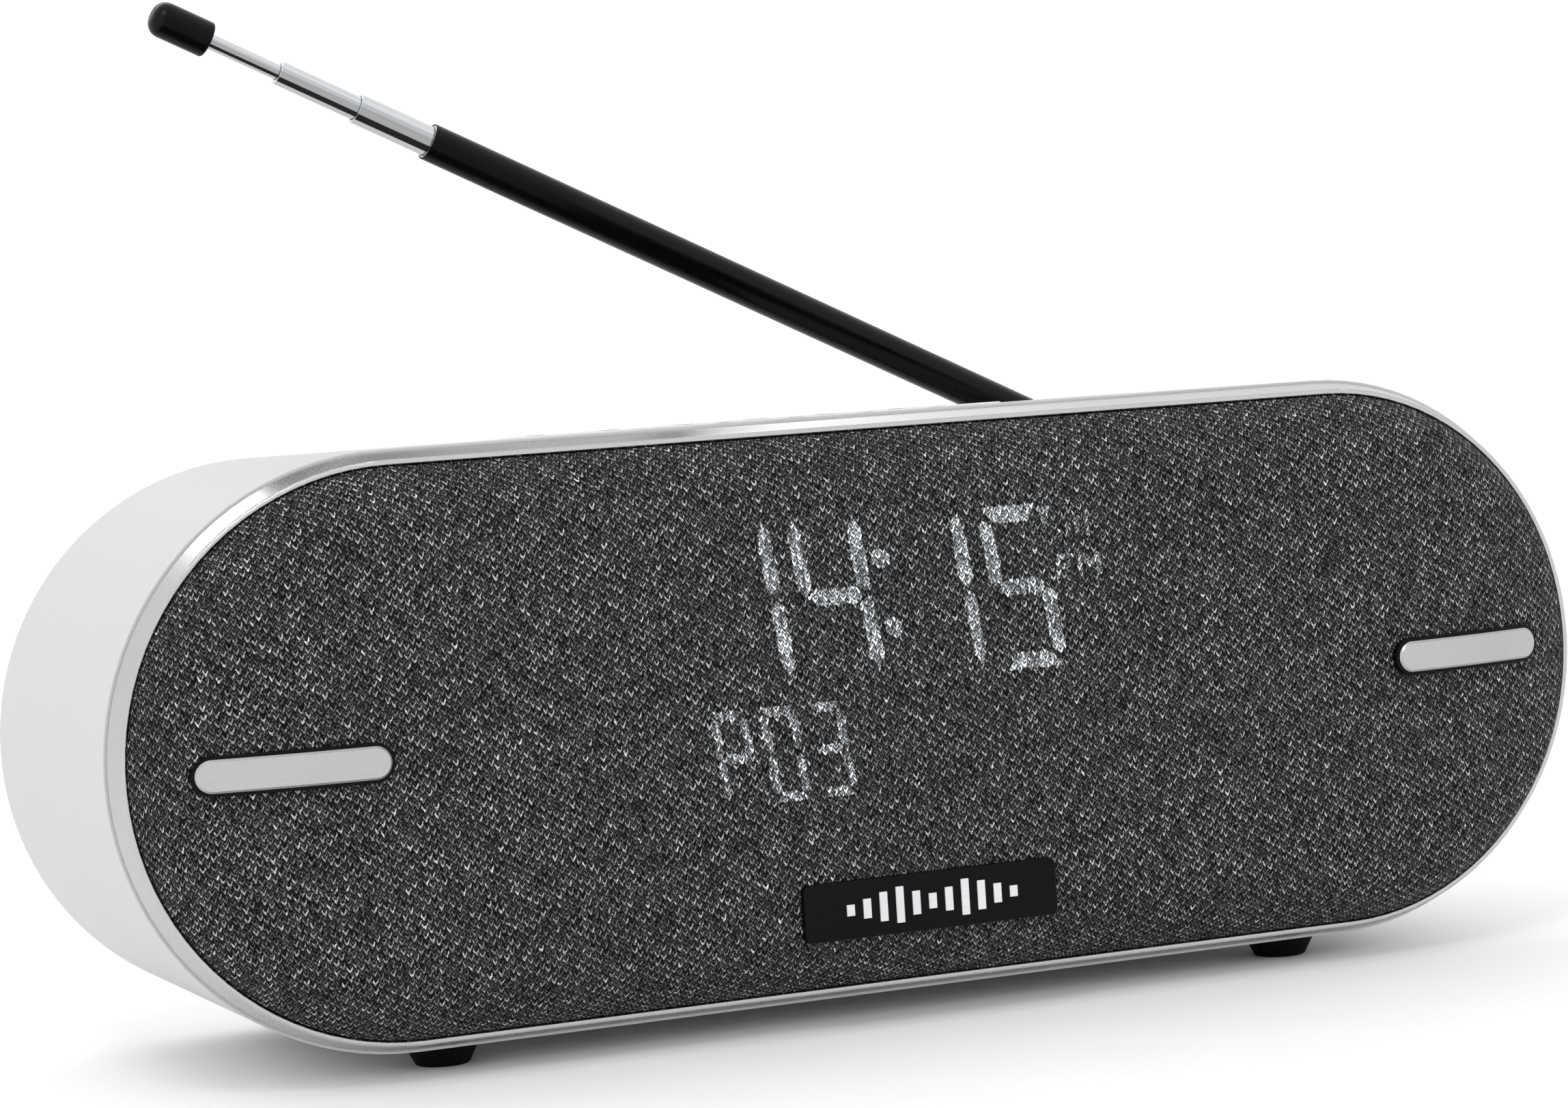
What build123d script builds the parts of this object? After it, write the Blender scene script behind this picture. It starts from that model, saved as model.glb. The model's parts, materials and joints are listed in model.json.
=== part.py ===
from build123d import *
import math
import os

# Tabletop radio with a cloth-covered crowned front and a telescopic aerial. Millimetres.
#
# Every part is drawn in body coordinates: X to the right as the listener sees it, Y the depth
# behind the front ring's plane, Z up from the long axis of the rounded body. On export each part
# moves by the same amount, so the stored origin is on the table, under the middle of the whole set.

# --- Body outline -------------------------------------------------------------------------------
HALF_STRAIGHT = 74.9        # half the straight stretch between the two round ends
OPENING_R = 40.0            # radius of the cloth opening's round ends
BODY_DEPTH = 66.0           # ring plane to the rear face
DRAFT = 1.4                 # degrees of draw on the housing's walls
WALL = 2.4                  # housing wall
REAR_EDGE_R = 1.8           # rounding of the housing's rear edge

# --- Front ring ---------------------------------------------------------------------------------
RING_DEPTH = 3.3
RING_NOSE = 0.8             # width of the ring's front face
RING_FLARE = 1.0            # how far the ring widens behind its nose
RING_ROUND = 0.3
RING_TO_HOUSING = 0.4       # step from the ring out to the housing
SHADOW_GAP = 0.4            # baffle lip seen between ring and housing

# --- Crowned front ------------------------------------------------------------------------------
CROWN = 8.0                 # how far the cloth stands in front of the ring's plane
ROLL = 12.0                 # width of the rolled edge, from the opening to the flat
SWEEP_START = 1.1           # where the ends start to sweep back, beyond the round end's centre
END_STANDS = 0.53           # how far the sweep still stands before the ring at the very end
CLOTH = 0.6                 # knitted cloth
FRAME = 2.0                 # moulded frame under the cloth
LOUVRE = 3.6                # sound slots through the frame, in front of each speaker
LOUVRE_PITCH = 6.4
LOUVRE_MARGIN = 2.5         # slots' ends, in from the speaker's opening
SKIRT = 2.5                 # depth of the frame's skirt behind the ring's plane
BAFFLE = 3.5

# --- Trim bars and badge ------------------------------------------------------------------------
BAR_LENGTH = 26.7
BAR_HEIGHT = 4.6
BAR_FROM_END_CENTRE = 18.5  # middle of a bar, outward from the round end's centre
BAR_RIM = 0.5               # black base showing round the bright insert
BASE_PROUD = 0.8
BAR_PROUD = 1.3
BAR_CHAMFER = 0.3           # bright-cut edge round the insert
BADGE_WIDTH = 40.3
BADGE_HEIGHT = 8.4
BADGE_TO_OPENING = 7.9      # badge's lower edge, in from the opening's edge
BADGE_CORNER = 1.2
BADGE_PROUD = 1.0
BADGE_EDGE = 0.35
MARK_HEIGHTS = (1.6, 2.8, 4.2, 5.2, 3.4, 2.2, 3.4, 5.2, 4.2, 2.8, 1.6)
MARK_PITCH = 2.6
MARK_WIDTH = 1.2
MARK_PROUD = 0.2
PEG_R = 1.1
PEG_LENGTH = 3.2

# --- Feet ---------------------------------------------------------------------------------------
FOOT_INSET = 6.5            # foot centre, inward from the round end's centre
FOOT_FROM_EDGE = 12.0       # foot centre from the front and from the rear face
FOOT_TIP_R = 3.8
FOOT_ROOT_R = 6.4
FOOT_STAND = 3.4            # table to the lowest point of the housing
FOOT_PLUG_R = 2.5

# --- Speakers -----------------------------------------------------------------------------------
DISPLAY_TO_SPEAKER = 21.0   # display's nearer edge to the speaker axis
SPEAKER_CONE_R = 22.5
SPEAKER_RIM = 6.1           # flange beyond the cone's opening
SURROUND = 4.0              # width of the rubber half-roll
BASKET_WALL = 1.5
SPEAKER_TAPER = 5.5         # how much narrower the basket's neck is than the cone's opening
MAGNET_R = 16.0
MAGNET_DEPTH = 11.0
BASKET_DEPTH = 14.0
FLANGE = 1.6
GASKET = 0.8
SPEAKER_SCREW_OUT = 3.8     # screw circle beyond the cone's opening
VOICE_COIL_R = 8.0
CONE_SHEET = 0.5

# --- Display ------------------------------------------------------------------------------------
DISPLAY_X = 1.0             # middle of the display, from the middle of the set
DISPLAY_TO_OPENING = 10.4   # display's top edge, in from the opening's edge
DISPLAY_WIDTH = 72.0
DISPLAY_HEIGHT = 43.0
LIGHT_BOX_DEPTH = 5.4
WINDOW_GAP = 0.3            # grille frame to light box, all round
BOARD = 1.2
BOARD_MARGIN = 4.4          # board above and below the light box
DISPLAY_SCREW_X = 32.0      # board screws, either side of the display's middle
DISPLAY_POST_R = 2.4
RIBBON_WIDTH = 18.0
RIBBON = 0.4
DIGIT_HEIGHT = 23.3
DIGIT_WIDTH = 9.6
DIGIT_STROKE = 1.8
DIGIT_CENTRES = (-25.4, -12.2, 4.2, 17.6)
DIGIT_RISE = 8.6            # middle of the large figures above the display's middle
DIGIT_LEAN = 8.0            # degrees, tops to the left
LETTER_HEIGHT = 13.8
LETTER_WIDTH = 5.2
LETTER_STROKE = 1.2
LETTER_CENTRES = (-28.8, -21.2, -13.9)
LETTER_DROP = 13.1          # middle of the small figures below the display's middle
SEGMENT_DEPTH = 1.2

# --- Keys on top --------------------------------------------------------------------------------
KEY_NAMES = ("power", "source", "back", "play", "next", "volume_down", "volume_up")
KEY_PITCH = 12.0
KEY_LENGTH = 10.4
KEY_WIDTH = 7.4
KEY_CORNER = 1.6
KEY_GAP = 0.3               # key to bezel, all round
KEY_PROUD = 0.25
KEY_TRAVEL = 0.8
KEY_LIP = 0.5               # flange that keeps a key in the bezel
KEYS_FROM_REAR = 22.0       # key row's centre line from the rear face
BEZEL_MARGIN = 2.0
BEZEL_FLANGE = 1.0
SWITCH_SIZE = 6.0
SWITCH_HEIGHT = 3.5
STEM_R = 1.3

# --- Rear panel and what it carries -------------------------------------------------------------
PANEL = 2.4
PANEL_GAP = 0.2
PANEL_LEDGE = 2.0
POST_R = 3.2
POST_WEB = 1.6              # rib that ties a post to the wall
POST_INSET = 5.4            # post centre, inward from the housing's inner wall at the rear
POST_END_ANGLE = 45.0       # posts on the round ends, degrees above and below the axis
POST_X = 54.0               # posts above and below, on the straight stretch
SCREW_R = 1.3
SCREW_FIT = 0.05
SCREW_HOLE_FIT = 0.3        # clearance hole, all round the thread
SCREW_SINK_FIT = 0.4        # counterbore, all round the head
SCREW_SINK = 0.1            # head below the panel's face
SCREW_HEAD_R = 2.6
SCREW_HEAD = 1.3
SCREW_LENGTH = 9.0
SPEAKER_SCREW = 4.6         # shorter screws for the speakers, display and key board
DISPLAY_SCREW = 5.0
DECK_SCREW = 6.0
SMALL_HEAD_R = 2.1
JACK_BORE_R = 1.8           # takes a 3.5 mm plug
JACK_DEPTH = 14.0
JACK_X = -22.0
CHARGE_X = -38.0
CHARGE_WIDTH = 8.6
CHARGE_HEIGHT = 2.8
CHARGE_DEPTH = 8.0
CHARGE_SHELL = 0.3
CHARGE_FIT = 0.2
CHARGE_TONGUE = 0.7
CHARGE_TONGUE_LENGTH = 5.5
CHARGE_LEG = 4.0
PANEL_CHAMFER = 0.4
SHELF_WIDTH = 8.0           # shelves on the rear panel, under the main board
SHELF_HEIGHT = 4.0
SHELF_INSET = 6.0           # shelf centre, in from the board's end
SOCKET_WALL = 1.2
SOCKET_Z = -6.0             # sockets' axis, from the body's axis

# --- Electronics --------------------------------------------------------------------------------
MAIN_BOARD_WIDTH = 104.0
MAIN_BOARD = 1.6
CELL_R = 9.2
CELL_LENGTH = 65.0
CELL_CLEARANCE = 0.3
TRAY_WALL = 1.4
TUNER_X = 30.0
TUNER_WIDTH = 24.0
TUNER_DEPTH = 16.0
TUNER_HEIGHT = 3.6
CAN_ROUND = 0.4
CELL_ROUND = 0.8
CELL_BUTTON_R = 2.8
CELL_BUTTON = 1.2
TRAY_SPRING_ROOM = 2.4      # room for a contact spring at each end of the cell
INNER_GAP = 1.5             # least gap kept between electronics and their neighbours

# --- Aerial -------------------------------------------------------------------------------------
AERIAL_FROM_END_CENTRE = 5.1    # swivel centre, outward from the round end's centre
AERIAL_TO_OPENING = 11.76       # swivel centre, down from the opening's top edge
AERIAL_RAISED = 26.13       # degrees above level as stored, pointing left
AERIAL_OFFSET = 4.6         # aerial axis behind the rear face
ROD_R = 1.2
INNER_TUBE_WALL = 0.6
MIDDLE_TUBE_WALL = 0.4
OUTER_TUBE_WALL = 0.2
SLEEVE_WALL = 0.25
SLIDE_FIT = 0.1             # radial play between one tube and the next
MOUTH_EASE = 0.12           # rounding of each tube's outer edge at its mouth
CAP_OVER_ROD = 1.6          # how far the cap stands out from the rod
CAP_LENGTH = 9.5
CAP_EASE = 0.4
CAP_GRIP = 7.0              # length of rod inside the cap
SLEEVE_START = 9.5          # from the pivot
COLLAR = 2.0                # knuckle's collar, which the tube is crimped to
OUTER_END = 134.0
MIDDLE_SHOWS = 12.6         # length of each section drawn out as stored
INNER_SHOWS = 13.5
ROD_SHOWS = 11.9
TAIL_GAP = 0.4              # knuckle to the middle tube, pushed right in
TAIL_STEP = 0.3             # and how much further the next tail then stands off
PIVOT_PIN_R = 1.0
PIN_FIT = 0.05              # the tongue turns on the pin
PIN_PRESS = 0.02            # the ears grip it
TONGUE = 2.6
EAR = 1.8
EAR_OVER_SLEEVE = 0.45      # swivel's ears and the tongue, beyond the sleeve's radius
TONGUE_OVER_SLEEVE = 0.25
EAR_GAP = 0.1
SWIVEL_R = 6.5
SWIVEL_FLANGE = 0.85
SWIVEL_LIFT = 0.15
STUD_R = 2.6
STUD_FIT = 0.08
STUD_LENGTH = 8.5
CIRCLIP = 0.8
CIRCLIP_FROM_END = 0.6      # groove, in from the stud's end
CIRCLIP_BITE = 0.4          # depth of the groove
CIRCLIP_BAND = 1.8          # how far the ring stands out from the stud
CIRCLIP_MOUTH = 2.4
BRACKET = 0.8
BRACKET_WIDTH = 11.0
BRACKET_HEIGHT = 17.0
BRACKET_DROP = 3.0          # plate's middle, below the stud
BOSS_WALL = 3.0             # wall of the rear panel's boss round the stud
CLIP_FROM_END = 6.0         # clip that holds the folded aerial, in from its outer tube's end
CLIP_LENGTH = 10.0
CLIP_PLAY = 0.4
CLIP_WALL = 1.6

# --- Worked out from the sizes above ------------------------------------------------------------
SLOPE = math.tan(math.radians(DRAFT))
RING_R = OPENING_R + RING_NOSE + RING_FLARE
END_FLAT = HALF_STRAIGHT + SWEEP_START
FOOT_X = HALF_STRAIGHT - FOOT_INSET
BADGE_BELOW_AXIS = OPENING_R - BADGE_TO_OPENING - BADGE_HEIGHT / 2
DISPLAY_Z = OPENING_R - DISPLAY_TO_OPENING - DISPLAY_HEIGHT / 2
DIGIT_MIDDLE_Z = DISPLAY_Z + DIGIT_RISE
LETTER_MIDDLE_Z = DISPLAY_Z - LETTER_DROP
AERIAL_X = HALF_STRAIGHT + AERIAL_FROM_END_CENTRE
AERIAL_Z = OPENING_R - AERIAL_TO_OPENING
INNER_TUBE_R = ROD_R + SLIDE_FIT + INNER_TUBE_WALL
MIDDLE_TUBE_R = INNER_TUBE_R + SLIDE_FIT + MIDDLE_TUBE_WALL
OUTER_TUBE_R = MIDDLE_TUBE_R + SLIDE_FIT + OUTER_TUBE_WALL
SLEEVE_R = OUTER_TUBE_R + SLEEVE_WALL
CAP_R = ROD_R + CAP_OVER_ROD
EAR_R = SLEEVE_R + EAR_OVER_SLEEVE
NECK_R = MIDDLE_TUBE_R
NECK_START = EAR_R + 1.0    # past the ears, so that the aerial folds freely
TONGUE_R = SLEEVE_R + TONGUE_OVER_SLEEVE
STUD_FRONT = BODY_DEPTH - STUD_LENGTH
CIRCLIP_FRONT = STUD_FRONT + CIRCLIP_FROM_END
BOSS_FRONT = CIRCLIP_FRONT + CIRCLIP + BRACKET
CLIP_X = AERIAL_X - OUTER_END + CLIP_FROM_END
SPEAKER_X = DISPLAY_X + DISPLAY_WIDTH / 2 + DISPLAY_TO_SPEAKER
SPEAKER_FLANGE_R = SPEAKER_CONE_R + SPEAKER_RIM
SPEAKER_NECK_R = SPEAKER_CONE_R - SPEAKER_TAPER
SCREW_CIRCLE_R = SPEAKER_CONE_R + SPEAKER_SCREW_OUT
HOUSING_FRONT = RING_DEPTH + SHADOW_GAP
HOUSING_R = RING_R + RING_TO_HOUSING
PANEL_FRONT = BODY_DEPTH - PANEL
REAR_HEAD_BACK = BODY_DEPTH - SCREW_HEAD - SCREW_SINK
BAFFLE_BACK = SKIRT + BAFFLE
CLIP_REACH = AERIAL_OFFSET + SLEEVE_R + CLIP_PLAY + CLIP_WALL
FRONT_REACH = CROWN + BADGE_PROUD + MARK_PROUD
TABLE_DROP = HOUSING_R + FOOT_STAND
FRONT_Y = (FRONT_REACH - BODY_DEPTH - CLIP_REACH) / 2
PLACE = Location((0, FRONT_Y, TABLE_DROP))


def housing_radius(depth):
    """Outer radius of the housing's round ends at a depth."""
    return HOUSING_R - (depth - HOUSING_FRONT) * SLOPE


def save(name, shape):
    """Write one part in the set's own frame."""
    export_step(PLACE * shape, f"parts/{name}.step")


def outline(radius, depth):
    """The body's rounded outline as a face at a depth."""
    slot = SlotOverall(2 * (HALF_STRAIGHT + radius), 2 * radius)
    return Plane.XZ.offset(-depth) * slot


def slab(radius, front, back):
    """A straight block of the body's outline."""
    return extrude(outline(radius, back), back - front)


def drafted(front_radius, front, back_radius, back):
    """A block of the body's outline that changes size evenly."""
    return loft([outline(front_radius, front).face(), outline(back_radius, back).face()])


def rod_y(radius, x, z, front, back):
    """A round bar along the depth."""
    return extrude(Plane.XZ.offset(-back) * Pos(x, z) * Circle(radius), back - front)


def block(x, y, z, width, depth, height):
    """A box by its middle."""
    return Pos(x, y, z) * Box(width, depth, height)


def side_pairs():
    """Name and sign of the left and right sides."""
    return (("left", -1), ("right", 1))


# --- Crowned front: shared shapes ---------------------------------------------------------------
ROLL_R = (ROLL ** 2 + CROWN ** 2) / (2 * CROWN)
ROLL_CENTRE_R = OPENING_R - ROLL
ROLL_CENTRE_Y = ROLL_R - CROWN
SWEEP_SPAN = OPENING_R - SWEEP_START
SWEEP_DROP = CROWN - END_STANDS
END_SWEEP_R = (SWEEP_SPAN ** 2 + SWEEP_DROP ** 2) / (2 * SWEEP_DROP)
SWEEP_CENTRE_Y = END_SWEEP_R - CROWN


def crown_edge(inset):
    """Radius at which the rolled edge, inset evenly, meets the ring's plane."""
    return ROLL_CENTRE_R + math.sqrt((ROLL_R - inset) ** 2 - ROLL_CENTRE_Y ** 2)


def rolled_block(inset):
    """The outline with its front edge rolled over."""
    top = inset - CROWN
    edge = crown_edge(inset)
    roll = TangentArc((top, ROLL_CENTRE_R), (0, edge), tangent=(0, 1))
    half = Polyline((top, 0), (top, ROLL_CENTRE_R)) + roll
    half += Polyline((0, edge), (SKIRT, edge), (SKIRT, 0), (top, 0))
    quarter = make_face(Plane.YZ * half)
    upper = extrude(quarter, HALF_STRAIGHT, both=True)
    block_of_revolution = revolve(quarter, Axis.Y, 360)
    ends = [Pos(side * HALF_STRAIGHT, 0, 0) * block_of_revolution for _, side in side_pairs()]
    return upper + mirror(upper, Plane.XY) + ends[0] + ends[1]


def swept_plan(inset):
    """The front's plan shape, flat in the middle and swept back at the ends."""
    top = inset - CROWN
    reach = HALF_STRAIGHT + HOUSING_R
    end_y = SWEEP_CENTRE_Y - math.sqrt((END_SWEEP_R - inset) ** 2 - (reach - END_FLAT) ** 2)
    right = TangentArc((END_FLAT, top), (reach, end_y), tangent=(1, 0))
    half = Polyline((0, top), (END_FLAT, top)) + right
    half += Polyline((reach, end_y), (reach, SKIRT), (0, SKIRT), (0, top))
    profile = make_face(half)
    right_half = extrude(profile, HOUSING_R, both=True)
    return right_half + mirror(right_half, Plane.YZ)


def crowned(inset):
    """Everything behind the crowned front's surface, inset evenly."""
    return rolled_block(inset) & swept_plan(inset)


def bar_prism(side, margin):
    """A trim bar's outline through the whole front."""
    centre = side * (HALF_STRAIGHT + BAR_FROM_END_CENTRE)
    slot = SlotOverall(BAR_LENGTH + 2 * margin, BAR_HEIGHT + 2 * margin)
    return extrude(Plane.XZ * Pos(centre, 0) * slot, FRONT_REACH, both=True)


def badge_prism(front, back, margin=0.0):
    """The badge's rounded rectangle between two depths."""
    shape = RectangleRounded(BADGE_WIDTH + 2 * margin, BADGE_HEIGHT + 2 * margin, BADGE_CORNER)
    return extrude(Plane.XZ.offset(-back) * Pos(0, -BADGE_BELOW_AXIS) * shape, back - front)


def peg_places():
    """Where the trim's pegs pass through the frame: x, z and the surface's depth there."""
    places = []
    for _, side in side_pairs():
        for step in (-1, 1):
            x = HALF_STRAIGHT + BAR_FROM_END_CENTRE + step * BAR_LENGTH / 4
            surface = SWEEP_CENTRE_Y - math.sqrt((END_SWEEP_R - CLOTH) ** 2 - (x - END_FLAT) ** 2)
            places.append((side * x, 0, surface))
    for step in (-1, 1):
        places.append((step * BADGE_WIDTH / 3, -BADGE_BELOW_AXIS, CLOTH - CROWN))
    return places


# --- Screw posts shared by housing, baffle and rear panel ---------------------------------------
def post_places():
    """Centres of the eight posts that join baffle, housing and rear panel."""
    reach = housing_radius(BODY_DEPTH) - WALL - POST_INSET
    turn = math.radians(POST_END_ANGLE)
    places = []
    for _, side in side_pairs():
        for up in (-1, 1):
            end_x = HALF_STRAIGHT + reach * math.cos(turn)
            places.append((side * end_x, up * reach * math.sin(turn)))
            places.append((side * POST_X, up * reach))
    return places


def screw(x, z, head_back, towards, length=SCREW_LENGTH, head_r=SCREW_HEAD_R):
    """A pan-head screw along the depth; towards is 1 when it is driven towards the rear."""
    tip = head_back + towards * length
    rim = head_back - towards * SCREW_HEAD
    head = rod_y(head_r, x, z, min(head_back, rim), max(head_back, rim))
    slot_depth = rim + towards * SCREW_HEAD / 2
    cross = block(x, (rim + slot_depth) / 2, z, head_r * 1.3, abs(slot_depth - rim), 0.6)
    cross += block(x, (rim + slot_depth) / 2, z, 0.6, abs(slot_depth - rim), head_r * 1.3)
    shank = rod_y(SCREW_R, x, z, min(head_back, tip), max(head_back, tip))
    return head + shank - cross


# --- Keys: a plane lying on the housing's sloped top --------------------------------------------
KEY_DEPTH = BODY_DEPTH - KEYS_FROM_REAR
DECK = Plane(
    origin=(0, KEY_DEPTH, housing_radius(KEY_DEPTH)),
    x_dir=(1, 0, 0),
    z_dir=(0, math.sin(math.radians(DRAFT)), math.cos(math.radians(DRAFT))),
)
BEZEL_LENGTH = (len(KEY_NAMES) - 1) * KEY_PITCH + KEY_LENGTH + 2 * BEZEL_MARGIN
BEZEL_WIDTH = KEY_WIDTH + 2 * BEZEL_MARGIN
BEZEL_BOTTOM = WALL + 1.0
KEY_FLANGE = 0.8
KEY_BOTTOM = BEZEL_BOTTOM + 0.1 + KEY_FLANGE
STEM_BOTTOM = KEY_BOTTOM + 1.6
SWITCH_TOP = STEM_BOTTOM + KEY_TRAVEL + 0.2
PLUNGER = 0.8
KEY_BOARD_TOP = SWITCH_TOP + PLUNGER + SWITCH_HEIGHT
KEY_BOARD_WIDTH = 18.0
DECK_POST_R = 2.4
DECK_POST_X = BEZEL_LENGTH / 2 + BEZEL_FLANGE + DECK_POST_R + PANEL_GAP
KEY_BOARD_LENGTH = 2 * (DECK_POST_X + DECK_POST_R + PANEL_GAP)


def on_deck(shape, down=0.0):
    """A sketch on the key deck, a distance under the housing's top."""
    return DECK.offset(-down) * shape


def key_places():
    """Name and x of each key."""
    first = -(len(KEY_NAMES) - 1) / 2 * KEY_PITCH
    return [(name, first + index * KEY_PITCH) for index, name in enumerate(KEY_NAMES)]


def deck_post_places():
    """Centres of the four posts that hold the key board, on the deck."""
    y = KEY_BOARD_WIDTH / 2 - DECK_POST_R
    return [(sx * DECK_POST_X, sy * y) for sx in (-1, 1) for sy in (-1, 1)]


def foot_places():
    """Centres of the four feet, with their names."""
    depths = (("front", FOOT_FROM_EDGE), ("rear", BODY_DEPTH - FOOT_FROM_EDGE))
    return [(f"{end}_{name}", side * FOOT_X, depth) for end, depth in depths for name, side in side_pairs()]


# --- Housing ------------------------------------------------------------------------------------
def main_housing():
    rear_r = housing_radius(BODY_DEPTH)
    outer = drafted(HOUSING_R, HOUSING_FRONT, rear_r, BODY_DEPTH)
    rear_edges = outer.edges().filter_by_position(Axis.Y, BODY_DEPTH - 0.01, BODY_DEPTH + 0.01)
    skin = fillet(rear_edges, REAR_EDGE_R)
    ledge_back = PANEL_FRONT
    ledge_front = PANEL_FRONT - PANEL_LEDGE
    ledge_r = housing_radius(ledge_front) - WALL
    shell = skin - drafted(HOUSING_R - WALL, HOUSING_FRONT, ledge_r, ledge_front)
    shell -= slab(rear_r - WALL, ledge_back, BODY_DEPTH)
    shell -= slab(rear_r - WALL - PANEL_LEDGE, ledge_front, ledge_back)
    core = drafted(HOUSING_R - WALL / 2, HOUSING_FRONT, rear_r - WALL / 2, BODY_DEPTH)
    posts = Part()
    pilots = Part()
    pilot_r = SCREW_R + SCREW_FIT
    for x, z in post_places():
        web = block(x, (BAFFLE_BACK + ledge_back) / 2, z + math.copysign(POST_INSET / 2, z),
                    POST_WEB, ledge_back - BAFFLE_BACK, POST_INSET)
        posts += rod_y(POST_R, x, z, BAFFLE_BACK, ledge_back) + web
        pilots += rod_y(pilot_r, x, z, BAFFLE_BACK, BAFFLE_BACK + SCREW_LENGTH)
        pilots += rod_y(pilot_r, x, z, ledge_back - SCREW_LENGTH, ledge_back)
    for x, y in deck_post_places():
        posts += extrude(on_deck(Pos(x, y) * Circle(DECK_POST_R), KEY_BOARD_TOP), KEY_BOARD_TOP - WALL / 2)
        pilots += extrude(on_deck(Pos(x, y) * Circle(pilot_r), KEY_BOARD_TOP), KEY_BOARD_TOP - WALL - 1)
    shell += posts & core
    shell -= pilots
    shell -= extrude(on_deck(RectangleRounded(BEZEL_LENGTH, BEZEL_WIDTH, KEY_CORNER), WALL + 1), WALL + 2)
    for _, x, depth in foot_places():
        shell -= Pos(x, depth, -HOUSING_R) * Cylinder(FOOT_PLUG_R + SCREW_FIT, 5 * WALL)
    return shell


def foot(x, depth):
    cone = Pos(x, depth, -TABLE_DROP) * Cone(
        FOOT_TIP_R, FOOT_ROOT_R, FOOT_STAND + 1.5, align=(Align.CENTER, Align.CENTER, Align.MIN))
    tip_edge = cone.edges().filter_by_position(Axis.Z, -TABLE_DROP - 0.01, -TABLE_DROP + 0.01)
    cone = fillet(tip_edge, 0.5)
    body = drafted(HOUSING_R, HOUSING_FRONT, housing_radius(BODY_DEPTH), BODY_DEPTH)
    plug_top = 0.8 - housing_radius(depth) + WALL
    plug = Pos(x, depth, -TABLE_DROP + FOOT_STAND) * Cylinder(
        FOOT_PLUG_R, plug_top + TABLE_DROP - FOOT_STAND, align=(Align.CENTER, Align.CENTER, Align.MIN))
    return (cone - body) + plug


# --- Front --------------------------------------------------------------------------------------
def front_ring():
    nose_r = OPENING_R + RING_NOSE
    ring = drafted(nose_r, 0, RING_R, RING_DEPTH) - slab(OPENING_R, -1, RING_DEPTH)
    nose_edges = ring.edges().filter_by_position(Axis.Y, -0.01, 0.01)
    return fillet(nose_edges, RING_ROUND)


def front_baffle():
    plate_r = HOUSING_R - WALL - PANEL_GAP
    plate = slab(plate_r, SKIRT, BAFFLE_BACK)
    plate += slab(RING_R - RING_FLARE / 4, RING_DEPTH, HOUSING_FRONT)
    pilot_r = SCREW_R + SCREW_FIT
    for x, z in post_places():
        plate -= rod_y(pilot_r, x, z, 0, BAFFLE_BACK)
    for _, side in side_pairs():
        x = side * SPEAKER_X
        plate -= rod_y(SPEAKER_CONE_R, x, 0, 0, BAFFLE_BACK)
    for x, z in speaker_screw_places():
        plate -= rod_y(pilot_r, x, z, SKIRT + 0.8, BAFFLE_BACK)
    for x, z in display_screw_places():
        plate += rod_y(DISPLAY_POST_R, x, z, display_board_back(), SKIRT)
        plate -= rod_y(pilot_r, x, z, display_board_back(), BAFFLE_BACK - 0.8)
    plate -= block(DISPLAY_X, (SKIRT + BAFFLE_BACK) / 2, DISPLAY_Z, RIBBON_WIDTH + 4, BAFFLE, 8)
    return plate


def grille_frame():
    frame = crowned(CLOTH) - crowned(CLOTH + FRAME)
    window = Rectangle(DISPLAY_WIDTH + 2 * WINDOW_GAP, DISPLAY_HEIGHT + 2 * WINDOW_GAP)
    frame -= extrude(Plane.XZ * Pos(DISPLAY_X, DISPLAY_Z) * window, CROWN)
    reach = SPEAKER_CONE_R - LOUVRE_MARGIN
    rows = math.floor(math.sqrt(reach ** 2 - LOUVRE ** 2) / LOUVRE_PITCH)
    for _, side in side_pairs():
        for row in range(-rows, rows + 1):
            z = row * LOUVRE_PITCH
            slot = SlotOverall(2 * math.sqrt(reach ** 2 - z ** 2), LOUVRE)
            louvre = extrude(Plane.XZ * Pos(side * SPEAKER_X, z) * slot, CROWN)
            frame -= louvre & louvre_zone(side)
    for x, z, surface in peg_places():
        frame -= rod_y(PEG_R + SCREW_FIT, x, z, surface - 1, surface + FRAME + 2)
    return frame


def louvre_zone(side):
    """The part of the frame that may be pierced: outside the light box."""
    inner = max(abs(side * DISPLAY_X + DISPLAY_WIDTH / 2), abs(side * DISPLAY_X - DISPLAY_WIDTH / 2)) + 2.5
    outer = HALF_STRAIGHT + BAR_FROM_END_CENTRE - BAR_LENGTH / 2 - 2
    return block(side * (inner + outer) / 2, -CROWN / 2, 0, outer - inner, 2 * CROWN, 2 * OPENING_R)


def grille_cloth():
    cloth = crowned(0) - crowned(CLOTH)
    for _, side in side_pairs():
        cloth -= bar_prism(side, BAR_RIM)
    return cloth - badge_prism(-FRONT_REACH, -CROWN / 2)


def trim_base(side):
    band = swept_plan(-BASE_PROUD) - swept_plan(CLOTH)
    base = bar_prism(side, BAR_RIM) & band
    base -= bar_prism(side, 0) & (swept_plan(-BASE_PROUD - 1) - swept_plan(-BASE_PROUD / 4))
    for x, z, surface in peg_places():
        if x * side > BADGE_WIDTH:
            base += rod_y(PEG_R, x, z, surface, surface + PEG_LENGTH)
    return base


def trim_bar(side):
    bar = bar_prism(side, 0) & (swept_plan(-BAR_PROUD) - swept_plan(-BASE_PROUD / 4))
    face = bar.faces().sort_by(Axis.Y)[0]
    return chamfer(face.edges(), BAR_CHAMFER)


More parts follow.
